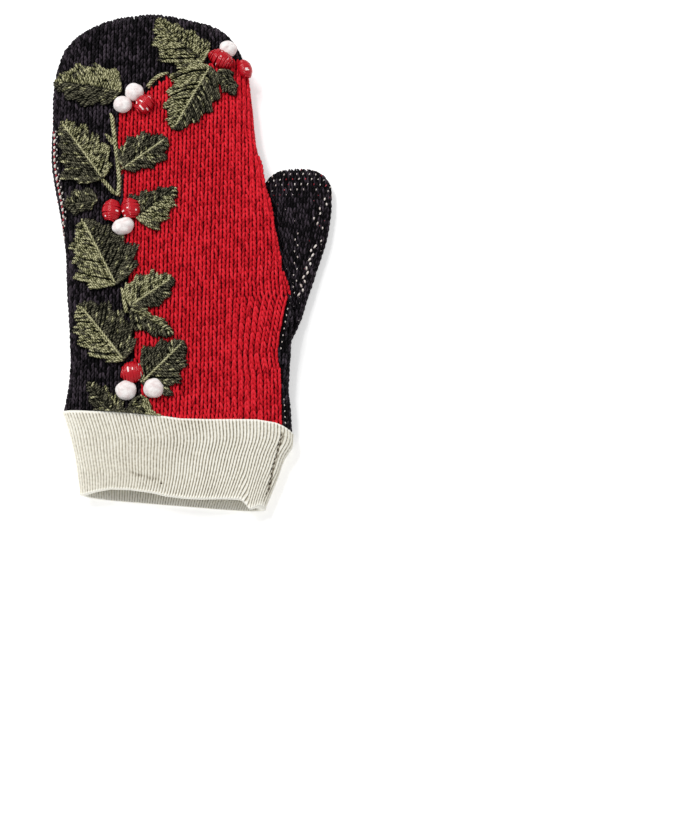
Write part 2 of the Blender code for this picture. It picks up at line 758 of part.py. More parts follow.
def vine_route(points):
    """The stem's points at an even spacing, on a smooth curve just above the back."""
    Spot = namedtuple("Spot", "x y")
    rows = [Spot(*point) for point in points]
    length = sum(hypot(b[0] - a[0], b[1] - a[1]) for a, b in zip(points, points[1:])) * MM
    steps = max(int(length / VINE_STEP), 3)
    route = []
    for place in spread(0.0, float(len(rows) - 1), steps):
        spot = along(rows, place)
        point, out = back_frame(spot.x * MM, spot.y * MM)
        route.append(point + out * (LEAF_LIFT + VINE_RADIUS))
    return route


def build_vines():
    for name, points in VINES.items():
        curve = bpy.data.curves.new(name, "CURVE")
        curve.dimensions = "3D"
        curve.bevel_depth = VINE_RADIUS
        curve.bevel_resolution = 1
        curve.use_fill_caps = True
        route = vine_route(points)
        spline = curve.splines.new("POLY")
        spline.points.add(len(route) - 1)
        for spot, point in zip(spline.points, route):
            spot.co = (*point, 1.0)
        curve.materials.append(finish("light green thread"))
        mitten.objects.link(bpy.data.objects.new(name, curve))


empty_scene()
mitten = new_collection("Knitted mitten")
cutters = new_collection("Cutters")
build_back()
build_palm()
build_thumb()
build_cuff()
build_leaves()
build_berries()
build_vines()
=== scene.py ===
from collections import namedtuple

import bpy
import numpy as np
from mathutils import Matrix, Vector
from mathutils.bvhtree import BVHTree


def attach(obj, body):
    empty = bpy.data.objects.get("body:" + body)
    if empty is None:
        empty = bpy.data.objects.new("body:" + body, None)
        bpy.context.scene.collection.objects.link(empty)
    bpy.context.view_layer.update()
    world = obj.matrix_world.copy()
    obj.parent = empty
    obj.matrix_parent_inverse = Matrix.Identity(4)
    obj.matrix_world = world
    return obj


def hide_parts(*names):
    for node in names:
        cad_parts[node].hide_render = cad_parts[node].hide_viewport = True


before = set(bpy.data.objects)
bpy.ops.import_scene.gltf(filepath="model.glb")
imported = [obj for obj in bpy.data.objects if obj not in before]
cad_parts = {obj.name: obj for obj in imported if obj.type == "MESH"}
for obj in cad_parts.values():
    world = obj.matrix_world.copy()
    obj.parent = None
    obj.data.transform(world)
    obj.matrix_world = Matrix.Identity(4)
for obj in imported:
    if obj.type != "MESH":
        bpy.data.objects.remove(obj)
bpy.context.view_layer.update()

# Camera: a short telephoto lens that looks down on the mitten from almost overhead,
# turned a little to the left, from just under a metre away.
CAMERA_AZIMUTH = np.radians(-5.35)
CAMERA_ELEVATION = np.radians(74.0)
CAMERA_DISTANCE = 0.930
LOOK_AT = Vector((0.075605, -0.085730, 0.010))
FOCAL_LENGTH = 85.0
SENSOR_WIDTH = 36.0

lens = bpy.data.cameras.new("camera")
lens.lens = FOCAL_LENGTH
lens.sensor_width = SENSOR_WIDTH
camera = bpy.data.objects.new("camera", lens)
bpy.context.scene.collection.objects.link(camera)
level = np.cos(CAMERA_ELEVATION)
away = Vector((np.sin(CAMERA_AZIMUTH) * level, -np.cos(CAMERA_AZIMUTH) * level, np.sin(CAMERA_ELEVATION)))
camera.location = LOOK_AT + CAMERA_DISTANCE * away
camera.rotation_euler = away.to_track_quat("Z", "Y").to_euler()
bpy.context.scene.camera = camera


# Studio: a plain white paper ground under soft light from the upper left, and a bright
# room that fills the shadows in.
def colour(code):
    """An sRGB hex value as linear light."""
    shares = [int(code[place:place + 2], 16) / 255 for place in (0, 2, 4)]
    return [share / 12.92 if share <= 0.04045 else ((share + 0.055) / 1.055) ** 2.4 for share in shares] + [1.0]


def fill_in(tree, node, inputs):
    """Inputs of a node or shader. One given as a socket is linked, any other is set."""
    for name, value in inputs.items():
        if isinstance(value, bpy.types.NodeSocket):
            tree.links.new(value, node.inputs[name])
        else:
            node.inputs[name].default_value = value


def add_node(tree, kind, inputs, stops=(), **settings):
    """A node with its settings and links, and the colour stops of a ramp from low to high."""
    node = tree.nodes.new(kind)
    for name, value in settings.items():
        setattr(node, name, value)
    fill_in(tree, node, inputs)
    for number, (place, code) in enumerate(stops):
        row = node.color_ramp.elements
        stop = row[number] if number < len(row) else row.new(place)
        stop.position = place
        stop.color = colour(code)
    return node


def new_material(name):
    """An empty material, with its tree and shader."""
    material = bpy.data.materials.new(name)
    material.use_nodes = True
    tree = material.node_tree
    return material, tree, tree.nodes["Principled BSDF"]


MM = 0.001


def marks_every(size):
    """Scale of a texture laid out in metres whose marks are this many millimetres apart."""
    return 1.0 / (size * MM)


# Opal acrylic, lit from below: an even white with broad faint clouds, 170 mm across, that
# keeps only the softest shadows
opal, tree, shader = new_material("opal acrylic light table")
haze = add_node(tree, "ShaderNodeTexNoise", {"Scale": marks_every(170.0), "Detail": 2.0})
ramp = add_node(tree, "ShaderNodeValToRGB", {"Fac": haze.outputs["Fac"]}, [(0.0, "f6f6f6"), (1.0, "fafafa")])
fill_in(tree, shader, {"Base Color": ramp.outputs["Color"], "Roughness": 0.7, "Specular IOR Level": 0.2,
                       "Emission Color": colour("ffffff"), "Emission Strength": 0.42})

TABLE_HALF = 3.0
table_mesh = bpy.data.meshes.new("light_table")
table_corners = [(side * TABLE_HALF, end * TABLE_HALF, 0.0) for side, end in ((-1, -1), (1, -1), (1, 1), (-1, 1))]
table_mesh.from_pydata(table_corners, [], [(0, 1, 2, 3)])
table_mesh.materials.append(opal)
table = bpy.data.objects.new("light_table", table_mesh)
bpy.context.scene.collection.objects.link(table)

room = bpy.data.worlds.new("room")
room.use_nodes = True
fill_in(room.node_tree, room.node_tree.nodes["Background"], {"Color": colour("ffffff"), "Strength": 0.5})
bpy.context.scene.world = room


def soft_box(name, spot, size, watts):
    """A square soft box at a spot, turned towards the mitten."""
    lamp = bpy.data.lights.new(name, "AREA")
    lamp.size = size
    lamp.energy = watts
    thing = bpy.data.objects.new(name, lamp)
    bpy.context.scene.collection.objects.link(thing)
    thing.location = spot
    thing.rotation_euler = Vector(spot).to_track_quat("Z", "Y").to_euler()


soft_box("key_light", (-0.55, 0.75, 1.35), 0.7, 14.0)
soft_box("glint_light", (-0.3, 0.25, 1.25), 0.1, 2.2)
bpy.context.scene.view_settings.view_transform = "Standard"


# Hand of the mitten: wool knitted flat in stocking stitch, a black and a red field on
# the back and a black patterned palm, sewn together at the sides. The same sections
# across the hand as the solid gives its form, and each stitch is two legs of yarn.
# Sections from the wrist to the tip in mm: left end x, y, right end x, y and height of the crown
HAND = [
    (-60.0, -75.1, 47.6, -96.3, 18.8),
    (-57.4, -59.0, 49.2, -74.0, 19.6),
    (-56.2, -43.0, 50.8, -53.0, 20.4),
    (-56.0, -27.0, 53.0, -30.0, 20.8),
    (-56.3, -12.0, 51.2, -12.0, 21.0),
    (-55.6, 6.0, 50.6, 6.0, 21.0),
    (-57.6, 28.0, 47.8, 28.0, 20.6),
    (-60.1, 53.0, 44.4, 53.0, 20.0),
    (-58.5, 76.0, 43.3, 76.0, 19.6),
    (-56.9, 95.0, 42.4, 95.0, 19.2),
    (-52.9, 111.0, 37.6, 111.0, 18.8),
    (-46.6, 120.6, 29.6, 120.6, 18.4),
    (-38.0, 126.4, 16.0, 126.4, 18.0),
    (-29.0, 130.2, 6.0, 130.2, 18.0),
    (-20.5, 132.2, -1.0, 132.2, 18.0),
    (-12.5, 132.98, -7.5, 132.98, 18.0),
]
# The line between the black and the red field, as y and x in mm
COLOUR_LINE = [
    (-100.0, -20.5), (-54.0, -23.0), (-13.0, -24.3), (33.0, -25.1), (75.5, -25.8), (78.5, -25.0),
    (82.0, -17.9), (87.0, -8.5), (92.0, 1.0), (96.0, 13.3), (98.6, 26.1), (100.6, 39.0),
]
TIP_Y = 133.0 * MM
TIP_ROUNDING = 11.0 * MM
EDGE_LEVEL = 9.0 * MM
LIFTED_EDGE = 16.2 * MM
LIFTED_SOLE = 12.9 * MM
HAND_SQUARE = 3.0
FLAT_SOLE = 1.12
# Thickness of the knitted cloth
KNIT_WALL = 2.6 * MM
# How far the palm's cloth comes up over the left edge, and over the right one by y in mm
LEFT_WRAP = 4.0 * MM
PALM_STRIP = [(-100.0, 3.6), (-67.0, 3.8), (-62.0, 5.0), (-56.0, 5.4), (-46.0, 4.0), (-36.0, 2.4), (-31.0, 1.2),
              (-27.0, -0.6), (-22.0, -0.6), (-14.0, 0.0)]
# How far in from the outline the yarn lies: y, at the left and at the right edge, in mm
EDGE_TUCK = [(-97.0, -1.1, -0.6), (-84.0, -1.1, -0.2), (-74.0, -0.8, 0.8), (-62.0, 0.3, 0.0), (-52.0, 0.3, -0.9),
             (-38.0, 0.3, -0.9), (-24.0, 0.4, -0.3), (-12.0, 0.4, 1.3), (6.0, 0.3, 1.7), (50.0, 0.2, 1.5),
             (75.0, 0.2, 0.6), (110.0, 0.5, 0.6), (122.0, 0.9, 0.6), (133.0, 0.9, 0.6)]
# The thumb edge is lifted off the ground over this band, by a width that grows to the wrist
LIFT_START = (-62.0 * MM, -36.0 * MM)
LIFT_END = (44.0 * MM, 70.0 * MM)
LIFT_WIDTH = 15.0 * MM
LIFT_WIDENING = 0.34
LIFT_FROM = 28.0 * MM
# A column and a course of the knitting
WALE = 3.9 * MM
COURSE = 2.6 * MM


def along(rows, place):
    """Rows of a table at places between its rows, on smooth curves through them."""
    table = np.array(rows, float)
    index = np.clip(np.floor(place).astype(int), 0, len(table) - 2)
    part = (place - index)[..., None]
    before, start = table[np.maximum(index - 1, 0)], table[index]
    end, after = table[index + 1], table[np.minimum(index + 2, len(table) - 1)]
    slope_start, slope_end = (end - before) / 2, (after - start) / 2
    return (start + part * slope_start
            + part ** 2 * (3 * (end - start) - 2 * slope_start - slope_end)
            + part ** 3 * (2 * (start - end) + slope_start + slope_end))


def between(value, low, high):
    """0 below low, 1 above high, and an even turn between them."""
    share = np.clip((value - low) / (high - low), 0.0, 1.0)
    return share * share * (3.0 - 2.0 * share)


def lifted(beyond, y):
    """How far the cloth is lifted, 0 to 1, at a place beyond the thumb edge or, below zero, short of it."""
    width = LIFT_WIDTH + LIFT_WIDENING * (LIFT_FROM - y)
    reach = between(y, *LIFT_START) * (1.0 - between(y, *LIFT_END))
    return reach * between(beyond + width, 0.0, 0.6 * width)


def hand_heights(place, share):
    """Place in plan, top and bottom of the hand at a share, -1 to 1, of a section's half span."""
    left_x, left_y, right_x, right_y, crown = np.moveaxis(along(HAND, place) * MM, -1, 0)
    x = (left_x + right_x) / 2 + share * (right_x - left_x) / 2
    y = (left_y + right_y) / 2 + share * (right_y - left_y) / 2
    near_tip = np.maximum(1.0 - (TIP_Y - y) / TIP_ROUNDING, 0.0)
    fullness = np.sqrt(np.maximum(1.0 - near_tip ** 2, 0.0))
    lift = lifted(x - right_x, y)
    edge = EDGE_LEVEL + (LIFTED_EDGE - EDGE_LEVEL) * lift
    top = edge + (crown - edge) * fullness
    sole = EDGE_LEVEL * (1.0 - fullness) + LIFTED_SOLE * lift * fullness
    rise = (1.0 - np.minimum(np.abs(share), 1.0) ** HAND_SQUARE) ** (1.0 / HAND_SQUARE)
    upper = edge + (top - edge) * rise
    lower = sole + (edge - sole) * np.maximum(1.0 - FLAT_SOLE * rise, 0.0)
    return x, y, upper, lower


def hand_surface(place, turn):
    """Outside of the hand. Turn runs from the thumb edge over the back to the far edge,
    and the palm's turns are below zero."""
    x, y, upper, lower = hand_heights(place, np.cos(turn))
    return np.stack([x, y, np.where(turn >= 0.0, upper, lower)], -1)


def unit(vectors):
    """The vectors, each at a length of 1."""
    return vectors / np.maximum(np.linalg.norm(vectors, axis=-1, keepdims=True), 1e-12)


def hand_out(place, turn):
    """Directions straight out of the hand's surface, from its slope over a small step."""
    step = 0.012
    side = np.where(turn >= 0.0, 1.0, -1.0)
    low = side * np.clip(np.abs(turn) - step, 0.001, np.pi - 0.001)
    high = side * np.clip(np.abs(turn) + step, 0.001, np.pi - 0.001)
    last = len(HAND) - 1.0
    ahead = (hand_surface(np.minimum(place + step, last), turn)
             - hand_surface(np.maximum(place - step, 0.0), turn))
    around = hand_surface(place, high) - hand_surface(place, low)
    return unit(np.cross(ahead, around)) * side[..., None]


def tucked(points, outs):
    """Spots of the cloth moved in from the outline, but not on the flat of the back and palm."""
    table = np.array(EDGE_TUCK) * MM
    left = np.interp(points[..., 1], table[:, 0], table[:, 1])
    right = np.interp(points[..., 1], table[:, 0], table[:, 2])
    level = outs * np.array([1.0, 1.0, 0.0])
    weight = between(np.linalg.norm(level, axis=-1), 0.2, 0.75)
    return points - unit(level) * (np.where(outs[..., 0] > 0.0, right, left) * weight)[..., None]


def lengths(points):
    """Length run along a line of points up to each of them."""
    return np.concatenate([[0.0], np.cumsum(np.linalg.norm(np.diff(points, axis=0), axis=-1))])


def course_levels(course):
    """Levels of y of the courses, evenly spaced over the crown of the back up to the tip."""
    place = np.linspace(0.0, len(HAND) - 1.0, 1500)
    crown = hand_surface(place, np.full_like(place, np.pi / 2))
    run = lengths(crown)
    levels = np.interp(np.arange(0.5 * course, run[-1], course), run, crown[:, 1])
    below = np.arange(levels[0] - course, -97.0 * MM, -course)[::-1]
    return np.concatenate([below, levels])


def flat_turn(sweep):
    """A turn from any angle round the hand: over the back from 0, then under the palm."""
    sweep = np.mod(sweep, 2 * np.pi)
    return np.where(sweep > np.pi, sweep - 2 * np.pi, sweep)


# Sweeps round the hand, from just under the thumb edge over the back, under the palm and on
SWEEP = np.linspace(-0.6, 2 * np.pi + 1.2, 1280)
LEVELS = course_levels(COURSE)


def course_loops():
    """Place on the hand's sections at which each sweep crosses each course, and the wrist's y."""
    places = np.linspace(0.0, len(HAND) - 1.0, 601)
    turns = flat_turn(SWEEP)
    grid = hand_surface(*np.broadcast_arrays(places[:, None], turns))
    columns = [np.interp(LEVELS, grid[:, column, 1], places) for column in range(len(turns))]
    return np.stack(columns, -1), grid[0, :, 1]


LOOPS, WRIST = course_loops()


def courses():
    """Each course's level, the points round it and the length run up to each of them."""
    for level, loop in zip(LEVELS, LOOPS):
        points = hand_surface(loop, flat_turn(SWEEP))
        yield level, points, lengths(points)


def stitches_in(columns):
    """Places, sweeps and levels of a panel's stitches, course by course, from a function that
    gives the lengths round the course at which its columns lie."""
    found = []
    for (level, points, run), loop in zip(courses(), LOOPS):
        sweep = np.interp(columns(level, points, run), run, SWEEP)
        place = np.interp(sweep, SWEEP, loop)
        kept = level > np.interp(sweep, SWEEP, WRIST) - 1.0 * MM
        found.append(np.stack([place, sweep, 0.0 * sweep + level], -1)[kept])
    return np.concatenate(found)


def mesh_piece(name, points, corners, counts, yarn=None):
    """An object from points, the faces' corners one after the other and their counts."""
    mesh = bpy.data.meshes.new(name)
    mesh.vertices.add(len(points))
    mesh.vertices.foreach_set("co", np.ascontiguousarray(points, np.float32).ravel())
    mesh.loops.add(len(corners))
    mesh.loops.foreach_set("vertex_index", np.ascontiguousarray(corners, np.int32))
    mesh.polygons.add(len(counts))
    mesh.polygons.foreach_set("loop_start", np.concatenate([[0], np.cumsum(counts)[:-1]]).astype(np.int32))
    mesh.polygons.foreach_set("loop_total", np.asarray(counts, np.int32))
    mesh.update(calc_edges=True)
    mesh.validate()
    mesh.shade_smooth()
    if yarn is not None:
        attribute = mesh.attributes.new("yarn", "FLOAT_VECTOR", "POINT")
        attribute.data.foreach_set("vector", np.ascontiguousarray(yarn, np.float32).ravel())
    piece = bpy.data.objects.new(name, mesh)
    bpy.context.scene.collection.objects.link(piece)
    return piece


def yarn_piece(name, paths, outs, wide, tall, sides, tone_and_shade):
    """Strands of yarn as closed tubes along paths, wide across them and tall along outs."""
    count, rings = paths.shape[:2]
    outs = np.broadcast_to(outs, paths.shape)
    wide = np.broadcast_to(wide, (count, rings))[..., None, None]
    tall = np.broadcast_to(tall, (count, rings))[..., None, None]
    ahead = unit(np.gradient(paths, axis=1))
    side = unit(np.cross(ahead, outs))
    up = np.cross(side, ahead)
    turn = 2 * np.pi * (np.arange(sides) + 0.5) / sides - np.pi / 2
    around = (side[:, :, None] * wide / 2 * np.cos(turn)[:, None]
              + up[:, :, None] * tall / 2 * np.sin(turn)[:, None])
    points = paths[:, :, None] + around
    strand = np.arange(count)[:, None, None] * rings * sides
    ring = np.arange(rings - 1)[None, :, None] * sides
    corner = np.arange(sides)[None, None, :]
    after = (corner + 1) % sides
    quads = np.stack(np.broadcast_arrays(strand + ring + corner, strand + ring + sides + corner,
                                         strand + ring + sides + after, strand + ring + after), -1)
    first = strand[:, 0] + np.arange(sides)
    last = strand[:, 0] + (rings - 1) * sides + np.arange(sides)[::-1]
    corners = np.concatenate([quads.ravel(), first.ravel(), last.ravel()])
    counts = np.concatenate([np.full(quads.size // 4, 4), np.full(2 * count, sides)])
    steps = np.linalg.norm(np.diff(paths, axis=1), axis=-1)
    length = np.concatenate([np.zeros((count, 1)), np.cumsum(steps, 1)], 1) / MM
    # The third value of the yarn attribute: each strand's random tone and, for knit and leaf stitches, their painted
    # shade and highlight
    tone_and_shade = np.asarray(tone_and_shade)
    tone_and_shade = tone_and_shade[:, None, None] if tone_and_shade.ndim == 1 else tone_and_shade[..., None]
    yarn = np.stack(np.broadcast_arrays(length[..., None], np.arange(sides) / sides, tone_and_shade), -1)
    return mesh_piece(name, points.reshape(-1, 3), corners, counts, yarn.reshape(-1, 3))


# One leg of a stitch at five points: from its foot in the middle of the column, ahead and to the
# side. Its two ends go down into the cloth, in the shade of the next stitches; painted shade
# darkens its colour there, and a faint painted highlight lightens its middle.
LEG_ACROSS = np.array([0.50, 0.71, 0.98, 1.24, 1.43]) * MM
LEG_AHEAD = np.array([-2.4, -1.25, 0.0, 1.25, 2.4]) * MM
LEG_OUT = np.array([-0.8, 0.05, 0.3, 0.05, -0.8]) * MM
LEG_WIDE = np.array([0.9, 1.3, 1.38, 1.3, 0.9]) * MM
LEG_TALL = np.array([0.8, 1.3, 1.5, 1.3, 0.8]) * MM
LEG_PAINTED_SHADE = np.array([-1.2, 0.0, 0.25, 0.0, -1.2])


def cloth_ways(outs):
    """Directions along the cloth, ahead to the fingertips and across, at spots facing out."""
    forward = np.array([0.0, 1.0, 0.0])
    ahead = unit(forward - outs * (outs @ forward)[:, None] + np.array([0.0, 0.0, -1e-4]))
    return ahead, np.cross(ahead, outs)


def knit_legs(spots, outs, wale, course, seed):
    """Paths of the two legs of each stitch, and which way is out of the cloth."""
    dice = np.random.default_rng(seed)
    count = len(spots)
    ahead, across = cloth_ways(outs)
    paths, ways = [], []
    for side in (-1.0, 1.0):
        wander = dice.normal(0.0, 0.1 * MM, (count, 3, 1))
        size = 1.0 + dice.normal(0.0, 0.04, (count, 1))
        path_across = side * LEG_ACROSS * wale / WALE * size + wander[:, 0]
        path_ahead = LEG_AHEAD * course / COURSE * size + wander[:, 1]
        path_out = LEG_OUT + 0.7 * wander[:, 2]
        path = (spots[:, None] + across[:, None] * path_across[..., None]
                + ahead[:, None] * path_ahead[..., None] + outs[:, None] * path_out[..., None])
        paths.append(path)
        ways.append(outs[:, None] + 0.0 * path)
    return np.concatenate(paths), np.concatenate(ways)


def wool(name, shadow, body, light, sheen, twist=2.4, groove=0.08):
    """Wool yarn, spun and plied: matt and fibrous, with painted shade in the groove between its plies."""
    material, tree, shader = new_material(name)
    place = add_node(tree, "ShaderNodeAttribute", {}, attribute_name="yarn")
    parts = add_node(tree, "ShaderNodeSeparateXYZ", {"Vector": place.outputs["Vector"]})
    # Fibres about 0.5 mm apart and 1 mm long, coarser than real ones so that they show
    stretched = add_node(tree, "ShaderNodeVectorMath", {0: place.outputs["Vector"], 1: (0.9, 9.0, 60.0)},
                         operation="MULTIPLY")
    fibres = add_node(tree, "ShaderNodeTexNoise", {"Vector": stretched.outputs[0], "Scale": 1.0, "Detail": 4.0,
                                                   "Roughness": 0.65})
    # Lighter and darker patches about one stitch wide
    spot = add_node(tree, "ShaderNodeTexCoord", {})
    patches = add_node(tree, "ShaderNodeTexNoise", {"Vector": spot.outputs["Object"], "Scale": marks_every(4.17),
                                                    "Detail": 3.0})
    # Two plies wound round each other, with a full turn every twist in mm
    ply = add_node(tree, "ShaderNodeMath", {0: parts.outputs["X"], 1: 2 * np.pi / twist}, operation="MULTIPLY")
    ply = add_node(tree, "ShaderNodeMath", {0: parts.outputs["Y"], 1: 4 * np.pi, 2: ply.outputs[0]},
                   operation="MULTIPLY_ADD")
    ply = add_node(tree, "ShaderNodeMath", {0: ply.outputs[0]}, operation="SINE")
    shade = add_node(tree, "ShaderNodeMath", {0: fibres.outputs["Fac"], 1: 0.8, 2: -0.2}, operation="MULTIPLY_ADD")
    # The yarn attribute's third value adds each strand's random tone and, on stitches, their painted shade and
    # highlight; the ply wave paints shade in the groove between the plies and light on their crowns
    for part, weight in ((patches.outputs["Fac"], 0.3), (parts.outputs["Z"], 0.3), (ply.outputs[0], groove)):
        shade = add_node(tree, "ShaderNodeMath", {0: part, 1: weight, 2: shade.outputs[0]},
                         operation="MULTIPLY_ADD")
    ramp = add_node(tree, "ShaderNodeValToRGB", {"Fac": shade.outputs[0]},
                    [(0.2, shadow), (0.5, body), (0.85, light)])
    height = add_node(tree, "ShaderNodeMath", {0: ply.outputs[0], 1: 0.3, 2: fibres.outputs["Fac"]},
                      operation="MULTIPLY_ADD")
    relief = add_node(tree, "ShaderNodeBump", {"Height": height.outputs[0], "Strength": 0.55,
                                               "Distance": 0.22 * MM})
    fill_in(tree, shader, {"Base Color": ramp.outputs["Color"], "Normal": relief.outputs["Normal"],
                           "Roughness": 0.9, "Specular IOR Level": 0.12, "Sheen Weight": sheen,
                           "Sheen Roughness": 0.5, "Sheen Tint": colour(light)})
    return material


# The bands of a wave texture lie this far apart at a scale of 1
WAVE_LENGTH = np.pi / 10


def purl_side(name, shadow, body):
    """The inside of the cloth: rows of purl bumps, one to a course, seen in the opening, with painted shade down
    between the rows.
    """
    material, tree, shader = new_material(name)
    spot = add_node(tree, "ShaderNodeTexCoord", {})
    rows = add_node(tree, "ShaderNodeTexWave", {"Vector": spot.outputs["Object"], "Scale": WAVE_LENGTH / COURSE,
                                                "Distortion": 2.5, "Detail": 2.0, "Detail Scale": 3.0},
                    wave_type="BANDS", bands_direction="Y")
    ramp = add_node(tree, "ShaderNodeValToRGB", {"Fac": rows.outputs["Fac"]}, [(0.0, shadow), (1.0, body)])
    relief = add_node(tree, "ShaderNodeBump", {"Height": rows.outputs["Fac"], "Strength": 0.8,
                                               "Distance": 0.6 * MM})
    fill_in(tree, shader, {"Base Color": ramp.outputs["Color"], "Normal": relief.outputs["Normal"],
                           "Roughness": 0.95, "Specular IOR Level": 0.15})
    return material


red_wool = wool("red wool yarn, stocking stitch", "5e0209", "d61c2a", "f23644", 0.0)
black_wool = wool("black wool yarn, stocking stitch", "010001", "09070a", "544a54", 0.02)
# The red cloth's inside is a dark red of painted shade; it also colours the red cloth's face, which shows in the slits
# between the stitches
red_inside_painted_shade = purl_side("inside of the red knit", "3c0509", "7a0f18")
black_inside = purl_side("inside of the black knit", "060506", "120f12")


def left_wrap(y):
    """How far the palm's cloth comes up over the left edge at y."""
    return LEFT_WRAP * between(y, 12.0 * MM, 26.0 * MM) * (1.0 - between(y, 66.0 * MM, 78.0 * MM))


def right_wrap(y):
    """How far the palm's cloth comes up over the thumb edge at y."""
    strip = np.array(PALM_STRIP) * MM
    return np.interp(y, strip[:, 0], strip[:, 1])


def colour_line_x(y):
    """Where the red field begins at y."""
    line = np.array(COLOUR_LINE) * MM
    return np.interp(y, line[:, 0], line[:, 1])


def on_red_field(spots):
    """Which of the spots on the back are red."""
    top = COLOUR_LINE[-1][0] * MM
    return (spots[:, 0] > colour_line_x(spots[:, 1])) & (spots[:, 1] < top)


def back_sweep(points, x):
    """Sweep at which a course's loop passes over x on the back."""
    back = (SWEEP >= 0.0) & (SWEEP <= np.pi)
    return np.interp(-x, -points[back, 0], SWEEP[back])


def edge_x(points, sweep):
    """Where a course's loop is in x at a sweep."""
    return np.interp(sweep, SWEEP, points[:, 0])


def right_sweep(level, points):
    """The seam at the thumb edge: on the back below the thumb, just under the edge above it."""
    under = TUCKED_TURN * between(level, -24.0 * MM, -8.0 * MM)
    return back_sweep(points, edge_x(points, 0.0) - right_wrap(level)) - under


def left_sweep(level, points):
    """The seam at the far edge."""
    return back_sweep(points, edge_x(points, np.pi) + left_wrap(level))


# How far under the thumb edge the seam lies above the thumb, as a turn in radians
TUCKED_TURN = 0.22
# The back's columns are a little closer than the palm's
BACK_PITCH = 3.82 * MM
# The columns lie a little askew to the hand: this much to the right for each step ahead
SKEW = 0.094
PIN_X = -10.0 * MM
# Near the thumb edge they bend with the bulge below the thumb, and hardly above it
BEND_WIDTH = 34.0 * MM
BEND_MARGIN = 5.0 * MM
BEND_ABOVE = 0.25


def back_limits(level, points, run):
    """Lengths round a course of its right seam, its middle column and its left seam."""
    sweeps = (right_sweep(level, points), back_sweep(points, PIN_X + SKEW * level), left_sweep(level, points))
    return np.interp(sweeps, SWEEP, run)


def back_columns(level, points, run):
    """The back's columns, counted in from the thumb edge, with one right beside the seam."""
    start, middle, end = back_limits(level, points, run)
    out = widest - (np.arange(-10, 45) + 0.5) * BACK_PITCH
    bend = (widest - middle + start) * (1.0 - (1.0 - BEND_ABOVE) * between(level, -26.0 * MM, -6.0 * MM))
    at = middle - out + bend * between(out, widest - BEND_WIDTH, widest - BEND_MARGIN)
    at = at[(at > start + 0.9 * BACK_PITCH) & (at < end - 0.3 * BACK_PITCH)]
    return np.append(at, start + 0.5 * BACK_PITCH)


# Greatest length from the middle column to the seam, at the bulge below the thumb
widest = 0.0
for level, points, run in courses():
    if level < -20.0 * MM:
        start, middle, _ = back_limits(level, points, run)
        widest = max(widest, middle - start)

rows = stitches_in(back_columns)
spots = hand_surface(rows[:, 0], flat_turn(rows[:, 1]))
outs = hand_out(rows[:, 0], flat_turn(rows[:, 1]))
red_part = on_red_field(spots)
spots = tucked(spots, outs)
# The yarn's middle lies this deep in the hand's outline, and this far above the ground
LEG_DEPTH = 0.85 * MM
GROUND_CLEARANCE = 0.72 * MM


def knitted(name, spots, outs, material, seed, sides, wale=WALE, course=COURSE):
    """The stitches at the spots as one piece of yarn, all above the ground."""
    paths, ways = knit_legs(spots - outs * LEG_DEPTH, outs, wale, course, seed)
    paths[..., 2] = np.maximum(paths[..., 2], GROUND_CLEARANCE)
    # Each leg's colour: a random tone, with painted shade at its ends and a painted highlight at its middle
    tone_and_shade = np.random.default_rng(seed + 1).random(len(paths))[:, None] + LEG_PAINTED_SHADE
    size = wale / WALE
    piece = yarn_piece(name, paths, ways, LEG_WIDE * size, LEG_TALL * size, sides, tone_and_shade)
    piece.data.materials.append(material)
    return piece


red_stitches = knitted("back_red_stitches", spots[red_part], outs[red_part], red_wool, 11, 5)
black_stitches = knitted("back_black_stitches", spots[~red_part], outs[~red_part], black_wool, 21, 5)


def power(value, square):
    """A cosine or sine bent so that a circle becomes a squarer round."""
    return np.copysign(np.abs(value) ** (2.0 / square), value)


def two_skins(name, face, back):
    """A closed piece between two grids of points, with the faces of the first ones first."""
    grid = np.arange(face.shape[0] * face.shape[1]).reshape(face.shape[:2])
    inner = grid + grid.size
    quads = [np.stack([grid[:-1, :-1], grid[1:, :-1], grid[1:, 1:], grid[:-1, 1:]], -1),
             np.stack([inner[:-1, :-1], inner[:-1, 1:], inner[1:, 1:], inner[1:, :-1]], -1)]
    for edge, far in ((grid[:, 0], inner[:, 0]), (inner[:, -1], grid[:, -1]),
                      (inner[0], grid[0]), (grid[-1], inner[-1])):
        quads.append(np.stack([edge[:-1], far[:-1], far[1:], edge[1:]], -1))
    corners = np.concatenate([quad.reshape(-1) for quad in quads])
    points = np.concatenate([face.reshape(-1, 3), back.reshape(-1, 3)])
    return mesh_piece(name, points, corners, np.full(len(corners) // 4, 4))


# The cloth's face lies this deep in the hand's outline, and this far above the ground
CLOTH_DEPTH = 1.5 * MM
CLOTH_CLEARANCE = 0.6 * MM


def cloth_wall(name, places, first, last, columns, outside, inside):
    """The cloth under the stitches: its face a little below them, and its inside."""
    share = np.linspace(0.0, 1.0, columns + 1)
    turn = first[:, None] + (last - first)[:, None] * share
    place = places[:, None] + 0.0 * turn
    x, y, upper, lower = hand_heights(place, power(np.cos(turn), HAND_SQUARE))
    face = np.stack([x, y, np.where(np.sin(turn) >= 0.0, upper, lower)], -1)
    even_turn = np.sign(np.sin(turn) + 1e-9) * np.arccos(power(np.cos(turn), HAND_SQUARE))
    out = hand_out(place, even_turn)
    face = tucked(face, out) - out * CLOTH_DEPTH
    face[..., 2] = np.maximum(face[..., 2], CLOTH_CLEARANCE)
    piece = two_skins(name, face, cavity(place, turn))
    piece.data.materials.append(outside)
    piece.data.materials.append(inside)
    slots = np.ones(len(piece.data.polygons), np.int32)
    slots[:(len(places) - 1) * columns] = 0
    piece.data.polygons.foreach_set("material_index", slots)
    return piece


def hand_edges(place):
    """Where the hand's left and right edges lie at a place, in plan."""
    row = along(HAND, np.asarray(place, float)) * MM
    return row[..., 0], row[..., 1], row[..., 2], row[..., 3]


# Place at which the hollow ends, and up to which its sections match those of the outside
CAVITY_END = 12.9
EVEN_ROWS = 10
# The wall at the sides, in wall thicknesses
SIDE_WALL = 1.35


